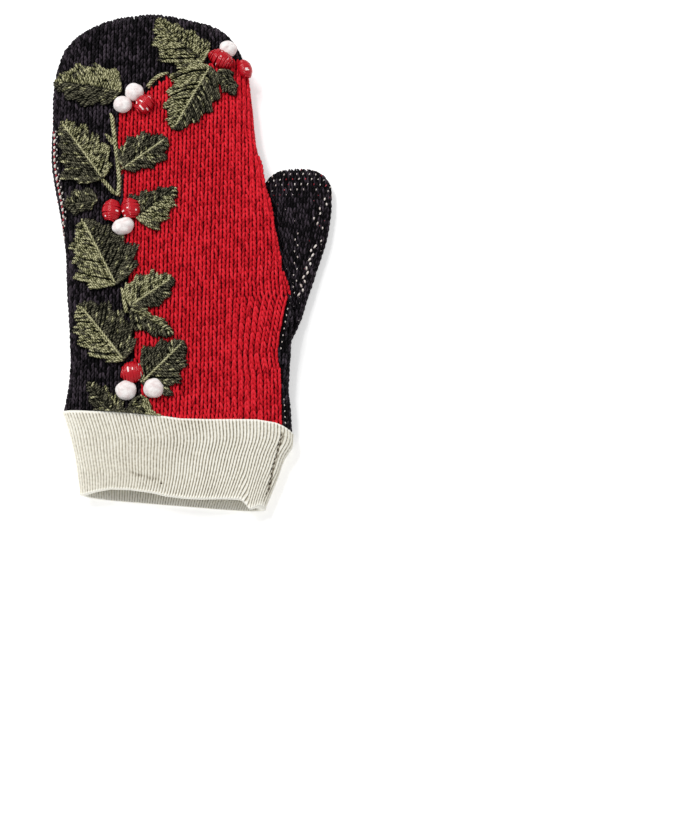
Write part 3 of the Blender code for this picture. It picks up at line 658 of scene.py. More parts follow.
def cavity(place, turn):
    """Inside of the hand, a wall's thickness from the outside."""
    last = len(HAND) - 1.0
    tip_share = np.maximum(place - EVEN_ROWS, 0.0) / (last - EVEN_ROWS)
    inner_place = place - tip_share * (last - CAVITY_END)
    left_x, left_y, right_x, right_y = hand_edges(inner_place)
    half = (right_x - left_x) / 2
    middle_y = (left_y + right_y) / 2
    left = -1.0 + SIDE_WALL * KNIT_WALL / half
    right = 1.0 - (SIDE_WALL + lifted(0.0, middle_y)) * KNIT_WALL / half
    share = (left + right) / 2 + (right - left) / 2 * power(np.cos(turn), HAND_SQUARE)
    x, y, upper, lower = hand_heights(inner_place, share)
    near_tip = np.maximum(1.0 - (TIP_Y - KNIT_WALL - y) / (TIP_ROUNDING - KNIT_WALL), 0.0)
    fullness = np.sqrt(np.maximum(1.0 - near_tip ** 2, 0.0004))
    depth = ((upper - lower) / 2 - KNIT_WALL) * fullness
    return np.stack([x, y, (upper + lower) / 2 + depth * power(np.sin(turn), HAND_SQUARE)], -1)


def turn_at(place, x):
    """Turn at which the outside of the back passes over x."""
    left_x, left_y, right_x, right_y = hand_edges(place)
    share = np.clip((2 * x - left_x - right_x) / (right_x - left_x), -1.0, 1.0)
    return np.arccos(np.sign(share) * np.abs(share) ** (HAND_SQUARE / 2))


def seam_turns(place):
    """Turns at which the back meets the palm's cloth, at the thumb edge and the far one."""
    left_x, left_y, right_x, right_y = hand_edges(place)
    return turn_at(place, right_x - right_wrap(right_y)), turn_at(place, left_x + left_wrap(left_y))


def line_turns(place):
    """Turns at which the red field meets the black one, found in a few steps."""
    left_x, left_y, right_x, right_y = hand_edges(place)
    y = (left_y + right_y) / 2
    for _ in range(3):
        x = colour_line_x(y)
        y = (left_y + right_y) / 2 + (right_y - left_y) / 2 * (2 * x - left_x - right_x) / (right_x - left_x)
    return turn_at(place, x)


# Place along the hand at which the red field ends
RED_END = 9.32
wall_places = np.concatenate([np.linspace(0.0, RED_END, 60), np.linspace(RED_END, 15.0, 40)[1:]])
right_seam, left_seam = seam_turns(wall_places)
colour_seam = np.where(wall_places <= RED_END, line_turns(wall_places), right_seam)
red_rows = wall_places <= RED_END
# Half the gap between two cloths, as a turn in radians
GAP = 0.004
# The red cloth's face takes that dark red, a sheet of painted shade in the slits between the stitches
red_wall = cloth_wall("back_red_cloth", wall_places[red_rows], right_seam[red_rows] + GAP,
                      colour_seam[red_rows] - GAP, 40, red_inside_painted_shade, red_inside_painted_shade)
black_wall = cloth_wall("back_black_cloth", wall_places, colour_seam + GAP, left_seam - GAP, 40,
                        black_inside, black_inside)


def stand_for(pieces, node):
    """Ties pieces to the mitten, in the place of the solid that they dress."""
    for piece in pieces:
        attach(piece, "root")
        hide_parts(node)


stand_for((red_stitches, red_wall), "back_red")
stand_for((black_stitches, black_wall), "back_black")


# Palm and thumb: one black cloth with small white and red flecks of the second yarn
# between its stitches. The thumb tube grows out of the palm and lies under the edge.
# The thumb's middle line from its root on: x and y in mm, lean in degrees, half width in mm
THUMB = [
    (24.0, -66.0, 24.0, 14.0),
    (39.0, -36.0, 24.0, 17.3),
    (46.0, -20.5, 26.0, 17.3),
    (52.0, -6.5, 21.0, 17.3),
    (57.7, 8.0, 16.0, 17.3),
    (60.4, 19.0, 10.0, 17.3),
    (61.5, 28.0, 4.0, 17.3),
]
THUMB_HEIGHT = 12.2 * MM
THUMB_WALL = 3.1 * MM
THUMB_TIP_LENGTH = 13.8 * MM
THUMB_TIP_DEPTH = 6.0 * MM
THUMB_TOP = len(THUMB) - 1.0
# How square its section is, and how much squarer at the root, up to these places
THUMB_SQUARE = 2.3
THUMB_ROOT_SQUARE = 3.5
THUMB_ROOT = (1.0, 3.0)
THUMB_WALE = 3.2 * MM
THUMB_COURSE = 2.8 * MM


def thumb_surface(place, extra, turn, inset=0.0):
    """The thumb: place along its table, then extra metres on into the tip, and the turn round it."""
    x, y, lean, half_width = np.moveaxis(along(THUMB, place), -1, 0)
    lean = np.radians(lean)
    reach = THUMB_TIP_LENGTH - inset
    plan = (1.0 - np.clip(extra / reach, 0.0, 1.0) ** THUMB_SQUARE) ** (1.0 / THUMB_SQUARE)
    depth_share = np.maximum(extra - (THUMB_TIP_LENGTH - THUMB_TIP_DEPTH), 0.0) / (THUMB_TIP_DEPTH - inset)
    depth = np.sqrt(np.maximum(1.0 - depth_share ** 2, 0.001))
    side = (half_width * MM - inset) * plan * power(np.cos(turn), THUMB_SQUARE)
    square = THUMB_SQUARE + THUMB_ROOT_SQUARE * (1.0 - between(place, *THUMB_ROOT))
    rise = (THUMB_HEIGHT / 2 - inset) * depth * power(np.sin(turn), square)
    return np.stack([x * MM + np.sin(lean) * extra + np.cos(lean) * side,
                     y * MM + np.cos(lean) * extra - np.sin(lean) * side,
                     THUMB_HEIGHT / 2 + rise + 0.0 * side], -1)


def tube_tree(grid):
    """A search tree of a closed tube through a grid of rings, whose faces look inwards."""
    rings, sides = grid.shape[:2]
    faces = [(row * sides + side, row * sides + (side + 1) % sides,
              (row + 1) * sides + (side + 1) % sides, (row + 1) * sides + side)
             for row in range(rings - 1) for side in range(sides)]
    faces.append(tuple(range(sides))[::-1])
    faces.append(tuple((rings - 1) * sides + side for side in range(sides)))
    return BVHTree.FromPolygons([Vector(point) for point in grid.reshape(-1, 3)], faces)


def depth_inside(tree, spots):
    """How deep each spot lies inside a tube, below zero outside."""
    depths = []
    for spot in spots:
        hit, inward, _, distance = tree.find_nearest(Vector(spot))
        inside = (Vector(spot) - hit).dot(inward) > 0.0
        depths.append(distance if inside else -distance)
    return np.array(depths)


def on_top_of(tree, plan):
    """Points on the top of a piece under places in plan, and the directions straight out."""
    points, outs = [], []
    for x, y in plan.reshape(-1, 2):
        hit, normal, _, _ = tree.ray_cast(Vector((x, y, 0.1)), Vector((0.0, 0.0, -1.0)))
        if hit is None:
            hit, normal, _, _ = tree.find_nearest(Vector((x, y, 12.0 * MM)))
        points.append(hit)
        outs.append(normal if normal.z > 0.0 else -normal)
    return np.array(points).reshape(*plan.shape[:-1], 3), np.array(outs).reshape(*plan.shape[:-1], 3)


ring_turns = np.linspace(0.0, 2 * np.pi, 64, endpoint=False)
hand_places = np.linspace(0.0, 15.0, 120)
x, y, upper, lower = hand_heights(*np.broadcast_arrays(hand_places[:, None],
                                                       power(np.cos(ring_turns), HAND_SQUARE)))
hand_tree = tube_tree(np.stack([x, y, np.where(np.sin(ring_turns) >= 0.0, upper, lower)], -1))


def thumb_rings(start, rows, tip_length, tip_rows, tip_turns):
    """Rings of the thumb: rows evenly spaced from a start, then rows that close in towards its tip."""
    places = np.append(np.linspace(start, THUMB_TOP, rows), np.full(tip_rows, THUMB_TOP))
    extra = np.append(np.zeros(rows), tip_length * np.sin(np.linspace(*tip_turns, tip_rows)))
    return np.broadcast_arrays(places[:, None], extra[:, None], ring_turns)


thumb_tree = tube_tree(thumb_surface(*thumb_rings(0.0, 60, THUMB_TIP_LENGTH, 24, (0.04, 1.55))))


PALM_MIDDLE = -8.0 * MM


def palm_columns(level, points, run):
    """Straight columns across the palm, out from its middle to the two seams."""
    palm = (SWEEP > np.pi) & (SWEEP < 2 * np.pi)
    middle = np.interp(np.interp(PALM_MIDDLE, points[palm, 0], SWEEP[palm]), SWEEP, run)
    start = np.interp(left_sweep(level, points), SWEEP, run)
    end = np.interp(2 * np.pi + right_sweep(level, points), SWEEP, run)
    at = middle + np.arange(-40, 40) * WALE
    return at[(at > start + 0.3 * WALE) & (at < end - 0.3 * WALE)]


palm_rows = stitches_in(palm_columns)
palm_spots = hand_surface(palm_rows[:, 0], flat_turn(palm_rows[:, 1]))
palm_outs = hand_out(palm_rows[:, 0], flat_turn(palm_rows[:, 1]))
free = depth_inside(thumb_tree, palm_spots) < 0.8 * MM
palm_spots, palm_outs = palm_spots[free], palm_outs[free]
palm_spots = tucked(palm_spots, palm_outs)
palm_stitches = knitted("palm_stitches", palm_spots, palm_outs, black_wool, 31, 4)


def round_thumb(at, on, offsets):
    """Spots and outward directions on a course of the thumb, at lengths from the middle of its top."""
    turns = np.linspace(-np.pi / 2, 1.5 * np.pi, 720)
    run = lengths(thumb_surface(*np.broadcast_arrays(at, on, turns)))
    along_run = np.interp(np.pi / 2, turns, run) + offsets
    along_run = along_run[(along_run > 0.0) & (along_run < run[-1])]
    turn = np.interp(along_run, run, turns)
    step, tip_step = 0.02, 0.3 * MM
    further = tip_step if at > THUMB_TOP - 0.03 else 0.0
    at, on = np.full_like(turn, at), np.full_like(turn, on)
    ahead = (thumb_surface(np.minimum(at + step, THUMB_TOP), on + further, turn)
             - thumb_surface(at - step, np.maximum(on - tip_step, 0.0), turn))
    around = thumb_surface(at, on, turn + step) - thumb_surface(at, on, turn - step)
    return thumb_surface(at, on, turn), unit(np.cross(ahead, around))


def thumb_courses():
    """Place and way into the tip of each course, from the root on."""
    fine = np.linspace(0.0, THUMB_TOP, 400)
    run = lengths(thumb_surface(fine, 0.0 * fine, np.full_like(fine, np.pi / 2)))
    steps = np.arange(0.5 * THUMB_COURSE, run[-1] + THUMB_TIP_LENGTH, THUMB_COURSE)
    return list(zip(np.interp(steps, run, fine), np.clip(steps - run[-1], 0.0, THUMB_TIP_LENGTH * 0.985)))


columns = (np.arange(-20, 20) + 0.5) * THUMB_WALE
found = [round_thumb(at, on, columns) for at, on in thumb_courses()]
thumb_spots, thumb_outs = (np.concatenate(part) for part in zip(*found))
free = depth_inside(hand_tree, thumb_spots) < 0.6 * MM
thumb_stitches = knitted("thumb_stitches", thumb_spots[free], thumb_outs[free], black_wool, 41, 5,
                         THUMB_WALE, THUMB_COURSE)

palm_wall = cloth_wall("palm_cloth", wall_places, left_seam + GAP - 2 * np.pi, right_seam - GAP, 60,
                       black_inside, black_inside)


def thumb_cloth():
    """The thumb's cloth under the stitches, and its inside."""
    shells = [thumb_surface(*thumb_rings(1.2, 40, 0.98 * (THUMB_TIP_LENGTH - inset), 12, (0.1, 1.5)), inset)
              for inset in (1.0 * MM, THUMB_WALL)]
    count, sides = shells[0].shape[:2]
    grid = np.arange(count * sides).reshape(count, sides)
    after = np.roll(grid, -1, 1)
    inner, inner_after = grid + grid.size, after + grid.size
    quads = [np.stack([grid[:-1], grid[1:], after[1:], after[:-1]], -1),
             np.stack([inner[:-1], inner_after[:-1], inner_after[1:], inner[1:]], -1),
             np.stack([grid[0], after[0], inner_after[0], inner[0]], -1)]
    corners = np.concatenate([quad.reshape(-1) for quad in quads] + [grid[-1], inner[-1][::-1]])
    counts = [4] * (sum(quad.size for quad in quads) // 4) + [sides, sides]
    points = np.concatenate([shell.reshape(-1, 3) for shell in shells])
    return mesh_piece("thumb_cloth", points, corners, counts)


thumb_wall = thumb_cloth()
thumb_wall.data.materials.append(black_inside)

white_yarn = wool("undyed white wool yarn, stranded", "b9a49c", "e6dcd4", "fbf6f0", 0.2)
pink_yarn = wool("red wool yarn, stranded", "7a1420", "b3303c", "d4707a", 0.2)


FLECK_CLEARANCE = 0.45 * MM


def flecks(name, spots, outs, material, seed, sizes):
    """Bits of the second yarn that show between the stitches, each of its own size."""
    dice = np.random.default_rng(seed)
    ahead, across = cloth_ways(outs)
    sizes = sizes[:, None, None]
    half = sizes / 2 * dice.uniform(0.85, 1.25, (len(spots), 1, 1))
    lean = dice.normal(0.25, 0.3, (len(spots), 1, 1))
    steps = np.array([-1.0, -0.4, 0.4, 1.0])[None, :, None]
    bow = np.array([-0.45, 0.0, 0.0, -0.45])[None, :, None] * MM
    paths = (spots[:, None] + (ahead[:, None] + across[:, None] * lean) * half * steps
             + outs[:, None] * (bow - 0.1 * MM))
    paths[..., 2] = np.maximum(paths[..., 2], FLECK_CLEARANCE)
    width = np.array([0.6, 1.0, 1.0, 0.6]) * 0.7 * sizes[..., 0]
    piece = yarn_piece(name, paths, outs[:, None], width, width, 4, dice.random(len(spots)))
    piece.data.materials.append(material)
    return piece


def beside_seam(seam, levels, offsets):
    """Spots and outward directions at lengths from a seam of the hand, at levels of y."""
    spots, outs = [], []
    for level, offset in zip(levels, offsets):
        row = np.interp(level, LEVELS, np.arange(len(LEVELS)))
        loop = LOOPS[int(row)] + (row % 1.0) * (LOOPS[int(row) + 1] - LOOPS[int(row)])
        points = hand_surface(loop, flat_turn(SWEEP))
        run = lengths(points)
        sweep = np.interp(np.interp(seam(level, points), SWEEP, run) + offset, run, SWEEP)
        place = np.array([np.interp(sweep, SWEEP, loop)])
        spots.append(hand_surface(place, flat_turn(sweep)))
        outs.append(hand_out(place, flat_turn(sweep)))
    spots, outs = np.concatenate(spots), np.concatenate(outs)
    return tucked(spots, outs), outs


# On the thumb a fleck for each stitch, shifted by a third from course to course. They show
# best round the tip, and most are drawn in elsewhere.
FLECK = 0.95 * MM
dice = np.random.default_rng(5)
found = []
for number, (at, on) in enumerate(thumb_courses()):
    offsets = (np.arange(-20, 20) + number / 3.0 % 1.0) * THUMB_WALE
    spots, outs = round_thumb(at, on, offsets)
    from_tip = len(thumb_courses()) - 1.0 - number
    shown = 1.0 - between(from_tip, 3.0, 6.0)
    under = between(-outs[:, 2], 0.2, 0.6)
    sizes = FLECK * (0.4 + 0.6 * np.maximum(shown, under)) * dice.uniform(0.75, 1.15, len(spots))
    kept = dice.random(len(spots)) < 0.2 + 0.7 * np.maximum(shown, 0.5 * under)
    found.append((spots[kept], outs[kept], sizes[kept]))
fleck_spots, fleck_outs, fleck_sizes = (np.concatenate(part) for part in zip(*found))
free = depth_inside(hand_tree, fleck_spots) < 0.2 * MM
fleck_spots, fleck_outs, fleck_sizes = fleck_spots[free], fleck_outs[free], fleck_sizes[free]
pink = dice.random(len(fleck_spots)) < 0.3

# Ladders of larger ones over the thumb's top: first and last in mm, count, sway in mm, size
LADDERS = [
    ((77.6, 25.4), (68.6, 9.9), 7, 1.2, 1.45),
    ((72.4, 7.6), (71.4, 1.0), 2, 0.0, 1.3),
    ((67.3, -1.9), (58.4, -26.6), 12, 0.7, 1.7),
    ((59.3, 5.0), (55.4, -25.6), 11, 0.6, 0.95),
]
rungs = []
for first, last, count, sway, size in LADDERS:
    share = np.linspace(0.0, 1.0, count)[:, None]
    line = np.array(first) + (np.array(last) - first) * share
    line[:, 0] += sway * np.where(np.arange(count) % 2 == 0, 1.0, -1.0) + dice.normal(0.0, 0.25, count)
    rungs.append(np.concatenate([line, np.full((count, 1), size)], 1))
rungs = np.concatenate(rungs)
rung_spots, rung_outs = on_top_of(thumb_tree, rungs[:, :2] * MM)
fleck_spots = np.concatenate([fleck_spots, rung_spots])
fleck_outs = np.concatenate([fleck_outs, rung_outs])
fleck_sizes = np.concatenate([fleck_sizes, rungs[:, 2] * FLECK])
pink = np.append(pink, np.zeros(len(rungs), bool))
white = ~pink
thumb_white = flecks("thumb_white_flecks", fleck_spots[white], fleck_outs[white], white_yarn, 51,
                     fleck_sizes[white])
thumb_pink = flecks("thumb_red_flecks", fleck_spots[pink], fleck_outs[pink], pink_yarn, 52,
                    fleck_sizes[pink])

# On the palm they lie scattered over the sole, as a ladder of large ones up the far edge,
# and as a single line of small ones beside the red field below the thumb.
sole = palm_outs[:, 2] < -0.5
sole_outs = palm_outs[sole]
sole_spots = palm_spots[sole] + cloth_ways(sole_outs)[1] * WALE / 2
chance = dice.random(len(sole_spots))
rungs = np.arange(7.0, 70.0, 3.4) * MM
ladder_spots, ladder_outs = beside_seam(left_sweep, rungs, 0.0 * rungs + 2.3 * MM)
inner_spots, inner_outs = beside_seam(left_sweep, rungs + 1.7 * MM, 0.0 * rungs + 0.6 * MM)
red_spots, red_outs = beside_seam(left_sweep, rungs + 1.7 * MM, 0.0 * rungs + 2.5 * MM)
line = np.concatenate([np.arange(-55.0, -26.0, 3.2), np.arange(-92.0, -78.0, 2.9)]) * MM
line_spots, line_outs = beside_seam(right_sweep, line, 0.0 * line - 1.1 * MM)
some, few = chance < 0.4, chance > 0.85
white_groups = [(sole_spots[some], sole_outs[some], 1.0), (ladder_spots, ladder_outs, 1.9),
                (inner_spots, inner_outs, 1.0), (line_spots, line_outs, 0.85)]
pink_groups = [(sole_spots[few], sole_outs[few], 1.0), (red_spots, red_outs, 1.2)]


def fleck_group(name, groups, material, seed):
    """One piece of flecks from groups of spots, outward directions and a size."""
    spots, outs, sizes = zip(*groups)
    sizes = [np.full(len(group), size * FLECK) for group, size in zip(spots, sizes)]
    return flecks(name, np.concatenate(spots), np.concatenate(outs), material, seed, np.concatenate(sizes))


palm_white = fleck_group("palm_white_flecks", white_groups, white_yarn, 53)
palm_pink = fleck_group("palm_red_flecks", pink_groups, pink_yarn, 54)
stand_for((palm_stitches, palm_wall, palm_white, palm_pink), "palm")
stand_for((thumb_stitches, thumb_wall, thumb_white, thumb_pink), "thumb")


# Cuff: a band of fine cream ribbing, folded double and sewn round the wrist. Its top
# edge is a fold that stands proud, and its rim is a thin turned edge.
# Sections from the wrist out in mm: left end x, y, right end x, y and height
CUFF = [
    (-61.2, -75.5, 48.9, -97.0, 20.0),
    (-58.6, -87.0, 47.9, -103.0, 18.8),
    (-56.8, -97.5, 43.2, -109.5, 17.6),
    (-55.9, -108.0, 39.4, -118.0, 16.6),
    (-55.3, -117.0, 32.0, -132.6, 15.8),
]
# How far the upper layer's fold and lip lie ahead of those lines: x and length in mm
FOLD_AHEAD = [(-61.0, 0.0), (-47.0, 0.0), (-33.0, 0.9), (-18.0, 0.8), (-4.0, 0.1), (10.0, 1.2), (24.0, 2.8),
              (32.0, 3.7), (41.0, 3.4), (49.0, 1.2)]
LIP_AHEAD = [(-56.0, -1.8), (-51.0, 0.0), (-47.0, 1.2), (-40.0, 2.9), (-31.0, 3.2), (-21.0, 2.6), (-14.0, 1.4),
             (-5.0, 1.0), (2.0, 1.3), (12.0, 2.4), (20.5, 3.0), (22.5, 2.2), (25.0, -1.6), (29.0, 0.6),
             (33.0, 3.2)]
# A sewn seam near the right edge and a crease, as lines in plan
CUFF_SEAM = [(44.0, -98.0), (42.2, -102.5), (40.3, -107.5), (38.2, -112.5), (36.8, -118.0), (35.5, -122.5),
             (33.4, -126.6)]
CREASE = [(-29.3, -110.3), (-23.3, -112.9), (-14.9, -116.1)]
# A slack area of the band, where the ribs lie flatter: its middle and its half widths
SLACK_MIDDLE = np.array([-34.0, -104.0]) * MM
SLACK_HALF = np.array([26.0, 13.0]) * MM
CUFF_SQUARE = 2.9
CUFF_WALL = 2.6 * MM
RIB = 1.5 * MM
RIB_DEPTH = 0.75 * MM
RIB_COLUMNS = 8


def near_line(points, corners, width):
    """How near points are in plan to a line of some width through corners: 1 on it, 0 far off."""
    x, y = points[:, 0], points[:, 1]
    corners = np.array(corners) * MM
    nearest = np.full_like(x, 1.0)
    for (x0, y0), (x1, y1) in zip(corners, corners[1:]):
        share = ((x - x0) * (x1 - x0) + (y - y0) * (y1 - y0)) / ((x1 - x0) ** 2 + (y1 - y0) ** 2)
        share = np.clip(share, 0.0, 1.0)
        nearest = np.minimum(nearest, np.hypot(x - x0 - share * (x1 - x0), y - y0 - share * (y1 - y0)))
    return np.exp(-(nearest / width) ** 2)


def ahead_by(table, x):
    """Length of a table in mm at x."""
    table = np.array(table) * MM
    return np.interp(x, table[:, 0], table[:, 1])


def cuff_surface(place, turn, inset):
    """The cuff: place from the wrist to the rim, turn round it, and depth in the cloth."""
    left_x, left_y, right_x, right_y, crown = np.moveaxis(along(CUFF, place) * MM, -1, 0)
    half = (right_x - left_x) / 2
    share = (1.0 - 1.3 * inset / half) * power(np.cos(turn), CUFF_SQUARE)
    rise = power(np.sin(turn), CUFF_SQUARE)
    rise = np.where(rise < 0.0, np.maximum(rise * FLAT_SOLE, -1.0), rise)
    x = (left_x + right_x) / 2 + share * half
    y = (left_y + right_y) / 2 + share * (right_y - left_y) / 2
    upper = between(np.sin(turn), 0.02, 0.5)
    down = place / (len(CUFF) - 1.0)
    y = y + upper * (ahead_by(FOLD_AHEAD, x) * (1.0 - down) ** 2 + ahead_by(LIP_AHEAD, x) * down ** 4)
    return np.stack([x, y, crown / 2 + (crown / 2 - inset) * rise], -1)


def ribbed_cuff():
    """The band's outside with its ribs, over the rim and back up the inside."""
    fine = np.linspace(0.0, 2 * np.pi, 4000)
    run = lengths(cuff_surface(np.full_like(fine, 2.0), fine, 0.0))
    ribs = int(run[-1] / RIB)
    columns = ribs * RIB_COLUMNS
    turn = np.interp(np.arange(columns) / columns * run[-1], run, fine)
    phase = np.arange(columns) / RIB_COLUMNS
    last = len(CUFF) - 1.0
    rows, shades = [], []
    for place in np.concatenate([[0.0, 0.02, 0.05], np.linspace(0.1, 3.9, 32), [3.94, 3.96, 3.98, 4.0]]):
        edge = np.clip(1.0 - place / 0.1, 0.0, 1.0) ** 2 + np.clip((place - last) / 0.06 + 1.0, 0.0, 1.0) ** 2
        bead = np.exp(-((place - 0.1) / 0.06) ** 2) + np.exp(-((place - last + 0.06) / 0.04) ** 2)
        wobble = 0.12 * np.sin(place * 3.0 + turn * 2.0)
        groove = 1.0 - np.abs(np.cos(np.pi * (phase + wobble))) ** 0.8
        flat = cuff_surface(np.full_like(turn, place), turn, 0.0)
        top = np.sin(turn) > 0.0
        slack = np.exp(-np.sum(((flat[:, :2] - SLACK_MIDDLE) / SLACK_HALF) ** 2, -1))
        groove = groove * (1.0 - 0.4 * slack)
        seam = top * near_line(flat, CUFF_SEAM, 0.45 * MM)
        crease = top * near_line(flat, CREASE, 0.7 * MM)
        ribbed = 1.0 - np.clip(edge, 0.0, 1.0)
        inset = 1.1 * MM * edge - 0.35 * MM * bead + RIB_DEPTH * groove * ribbed
        rows.append(cuff_surface(np.full_like(turn, place), turn, inset + (0.8 * seam + 0.3 * crease) * MM))
        # Painted shade darkens the grooves between the ribs, the seam and the crease, a painted highlight lightens the
        # beads along the fold and the lip, and the slack area is a little darker
        shades.append(1.0 - groove * ribbed - 0.2 * slack + 0.8 * bead - 1.2 * seam - 0.3 * crease)
    # The inside: painted light makes its ribs lighter than those outside, and painted shade darkens its grooves
    for place in np.linspace(3.98, 0.0, 12):
        groove = 1.0 - np.abs(np.cos(np.pi * phase)) ** 0.8
        rows.append(cuff_surface(np.full_like(turn, place), turn, CUFF_WALL - 0.5 * RIB_DEPTH * groove))
        shades.append(1.2 - 0.9 * groove)
    grid = np.stack(rows)
    grid[..., 2] = np.maximum(grid[..., 2], 0.0)
    index = np.arange(grid.shape[0] * columns).reshape(grid.shape[0], columns)
    far = np.roll(index, -1, 1)
    bottom, bottom_far = np.roll(index, -1, 0), np.roll(far, -1, 0)
    quads = np.stack([index, far, bottom_far, bottom], -1)
    run = np.linspace(0.0, 60.0, len(rows))
    yarn = np.stack(np.broadcast_arrays(run[:, None], phase[None], np.stack(shades)), -1)
    return mesh_piece("cuff_ribbing", grid.reshape(-1, 3), quads.reshape(-1), np.full(quads.size // 4, 4),
                      yarn.reshape(-1, 3))


# Rib jersey of undyed cotton: matt, cream on its ribs and darkened to brown down between them as
# painted shade, with the small stitches of about a millimetre along each rib and broad worn patches
rib_cotton, tree, shader = new_material("undyed cotton rib jersey, machine knitted")
place = add_node(tree, "ShaderNodeAttribute", {}, attribute_name="yarn")
parts = add_node(tree, "ShaderNodeSeparateXYZ", {"Vector": place.outputs["Vector"]})
spot = add_node(tree, "ShaderNodeTexCoord", {})
stitches = add_node(tree, "ShaderNodeTexNoise", {"Vector": spot.outputs["Object"], "Scale": marks_every(1.11),
                                                 "Detail": 3.0, "Roughness": 0.6})
patches = add_node(tree, "ShaderNodeTexNoise", {"Vector": spot.outputs["Object"], "Scale": marks_every(16.7),
                                                "Detail": 2.0})
shade = add_node(tree, "ShaderNodeMath", {0: parts.outputs["Z"], 1: 0.8, 2: -0.39}, operation="MULTIPLY_ADD")
for part, weight in ((stitches.outputs["Fac"], 0.7), (patches.outputs["Fac"], 0.25)):
    shade = add_node(tree, "ShaderNodeMath", {0: part, 1: weight, 2: shade.outputs[0]}, operation="MULTIPLY_ADD")
ramp = add_node(tree, "ShaderNodeValToRGB", {"Fac": shade.outputs[0]},
                [(0.05, "5a5345"), (0.35, "a8a08e"), (0.62, "e9e4d4"), (0.95, "fffdf3")])
relief = add_node(tree, "ShaderNodeBump", {"Height": stitches.outputs["Fac"], "Strength": 0.5,
                                           "Distance": 0.3 * MM})
fill_in(tree, shader, {"Base Color": ramp.outputs["Color"], "Normal": relief.outputs["Normal"],
                       "Roughness": 0.9, "Specular IOR Level": 0.15})
cuff = ribbed_cuff()
cuff.data.materials.append(rib_cotton)


def sewn_line(name, tree, corners, stitch, gap, wide, sink, material):
    """A row of small stitches of sewing thread along a line in plan, pressed into the cloth."""
    line = np.array(corners) * MM
    run = lengths(line)
    starts = np.arange(0.2 * MM, run[-1] - stitch, stitch + gap)
    at = starts[:, None] + np.linspace(0.0, 1.0, 5) * stitch
    plan = np.stack([np.interp(at, run, line[:, 0]), np.interp(at, run, line[:, 1])], -1)
    points, outs = on_top_of(tree, plan)
    bow = np.array([-0.5, 0.0, 0.15, 0.0, -0.5]) * MM - sink
    width = np.array([0.7, 1.0, 1.0, 1.0, 0.7]) * wide
    piece = yarn_piece(name, points + outs * bow[:, None], outs, width, width, 5, np.full(len(plan), 0.5))
    piece.data.materials.append(material)
    return piece


cuff_faces = [tuple(face.vertices) for face in cuff.data.polygons]
cuff_tree = BVHTree.FromPolygons([vertex.co for vertex in cuff.data.vertices], cuff_faces)
dark_thread_seam = wool("brown sewing thread", "2a2018", "5c4c3c", "8a7964", 0.0)
pale_thread_seam = wool("undyed sewing thread", "a8a08d", "e8e2d2", "fffdf3", 0.0)
seam_beside = [(x - 0.9, y - 0.3) for x, y in CUFF_SEAM]
crease_end = [(-16.6, -116.5), (-14.2, -117.3)]
sewn_lines = [
    sewn_line("cuff_seam_dark", cuff_tree, CUFF_SEAM, 3.0 * MM, 0.1 * MM, 0.4 * MM, 0.1 * MM, dark_thread_seam),
    sewn_line("cuff_seam_pale", cuff_tree, seam_beside, 1.5 * MM, 0.9 * MM, 0.75 * MM, 0.0 * MM, pale_thread_seam),
    sewn_line("cuff_crease_end", cuff_tree, crease_end, 1.4 * MM, 0.5 * MM, 0.7 * MM, 0.0 * MM, dark_thread_seam),
]
stand_for([cuff] + sewn_lines, "cuff")


# Holly leaves: crewel wool in satin stitch over a low pad, fanned out from a midrib,
# each leaf in a light and a dark green, worked on the finished back.
# Foot and tip in plan, half widths at the lobes on either side, tones left, right and midrib
Leaf = namedtuple("Leaf", "name foot tip left_lobes right_lobes tones")
LEAVES = [
    Leaf("leaf_over_tip", (20.0, 98.5), (-1.1, 124.4),
         (11.5, 15.3, 11.8), (10.5, 9.0, 5.8), ("light", "light", "dark")),
    Leaf("leaf_top_right", (23.4, 95.6), (2.9, 62.4),
         (8.5, 12.3, 12.1, 9.0), (12.5, 15.4, 13.0, 11.5), ("dark", "light", "light")),
    Leaf("leaf_top_small", (27.4, 93.0), (34.4, 80.0),
         (6.2, 4.4), (3.5, 4.2), ("dark", "dark", "dark")),
    Leaf("leaf_top_left", (-22.0, 85.6), (-55.0, 96.6),
         (8.7, 11.4, 9.3), (12.5, 13.0, 11.5), ("dark", "light", "dark")),
    Leaf("leaf_upper_left", (-33.7, 39.2), (-52.7, 73.5),
         (10.5, 16.5, 12.0, 8.5), (8.5, 12.3, 11.0, 8.8), ("dark", "light", "light")),
    Leaf("leaf_upper_right", (-23.2, 43.6), (-0.8, 58.0),
         (10.8, 13.0, 10.5), (5.4, 8.6, 9.2), ("dark", "dark", "light")),
    Leaf("leaf_left_small", (-37.0, 28.3), (-53.4, 28.7),
         (4.6, 6.2), (7.4, 7.6), ("dark", "dark", "dark")),
    Leaf("leaf_middle_right", (-18.7, 17.1), (1.9, 31.0),
         (11.5, 9.5, 5.5), (12.8, 10.8, 7.8), ("dark", "light", "dark")),
    Leaf("leaf_middle_left", (-30.6, -16.9), (-44.8, 19.3),
         (12.5, 16.6, 13.5, 12.0), (14.5, 18.5, 14.5, 10.5), ("light", "dark", "light")),
    Leaf("leaf_lower_right", (-24.1, -28.6), (-2.6, -16.0),
         (11.8, 12.0, 9.5), (5.0, 8.4, 7.2), ("light", "dark", "light")),
    Leaf("leaf_lower_small", (-24.2, -30.8), (-4.7, -44.8),
         (4.2, 4.4), (7.0, 5.8), ("light", "dark", "dark")),
    Leaf("leaf_lower_left", (-29.1, -55.5), (-48.9, -24.2),
         (7.0, 11.5, 12.5, 10.5), (11.0, 14.5, 14.0, 12.0), ("light", "dark", "light")),
    Leaf("leaf_bottom_right", (-21.3, -67.5), (0.4, -48.9),
         (7.5, 12.5, 9.0), (14.5, 12.8, 10.0), ("dark", "dark", "light")),
    Leaf("leaf_cuff_left", (-31.0, -88.3), (-47.0, -64.4),
         (5.0, 7.0, 5.5), (6.5, 8.0, 5.5), ("dark", "dark", "dark")),
    Leaf("leaf_cuff_middle", (-22.3, -73.7), (-20.8, -91.5),
         (4.0, 7.0), (7.4, 7.8), ("light", "dark", "dark")),
]
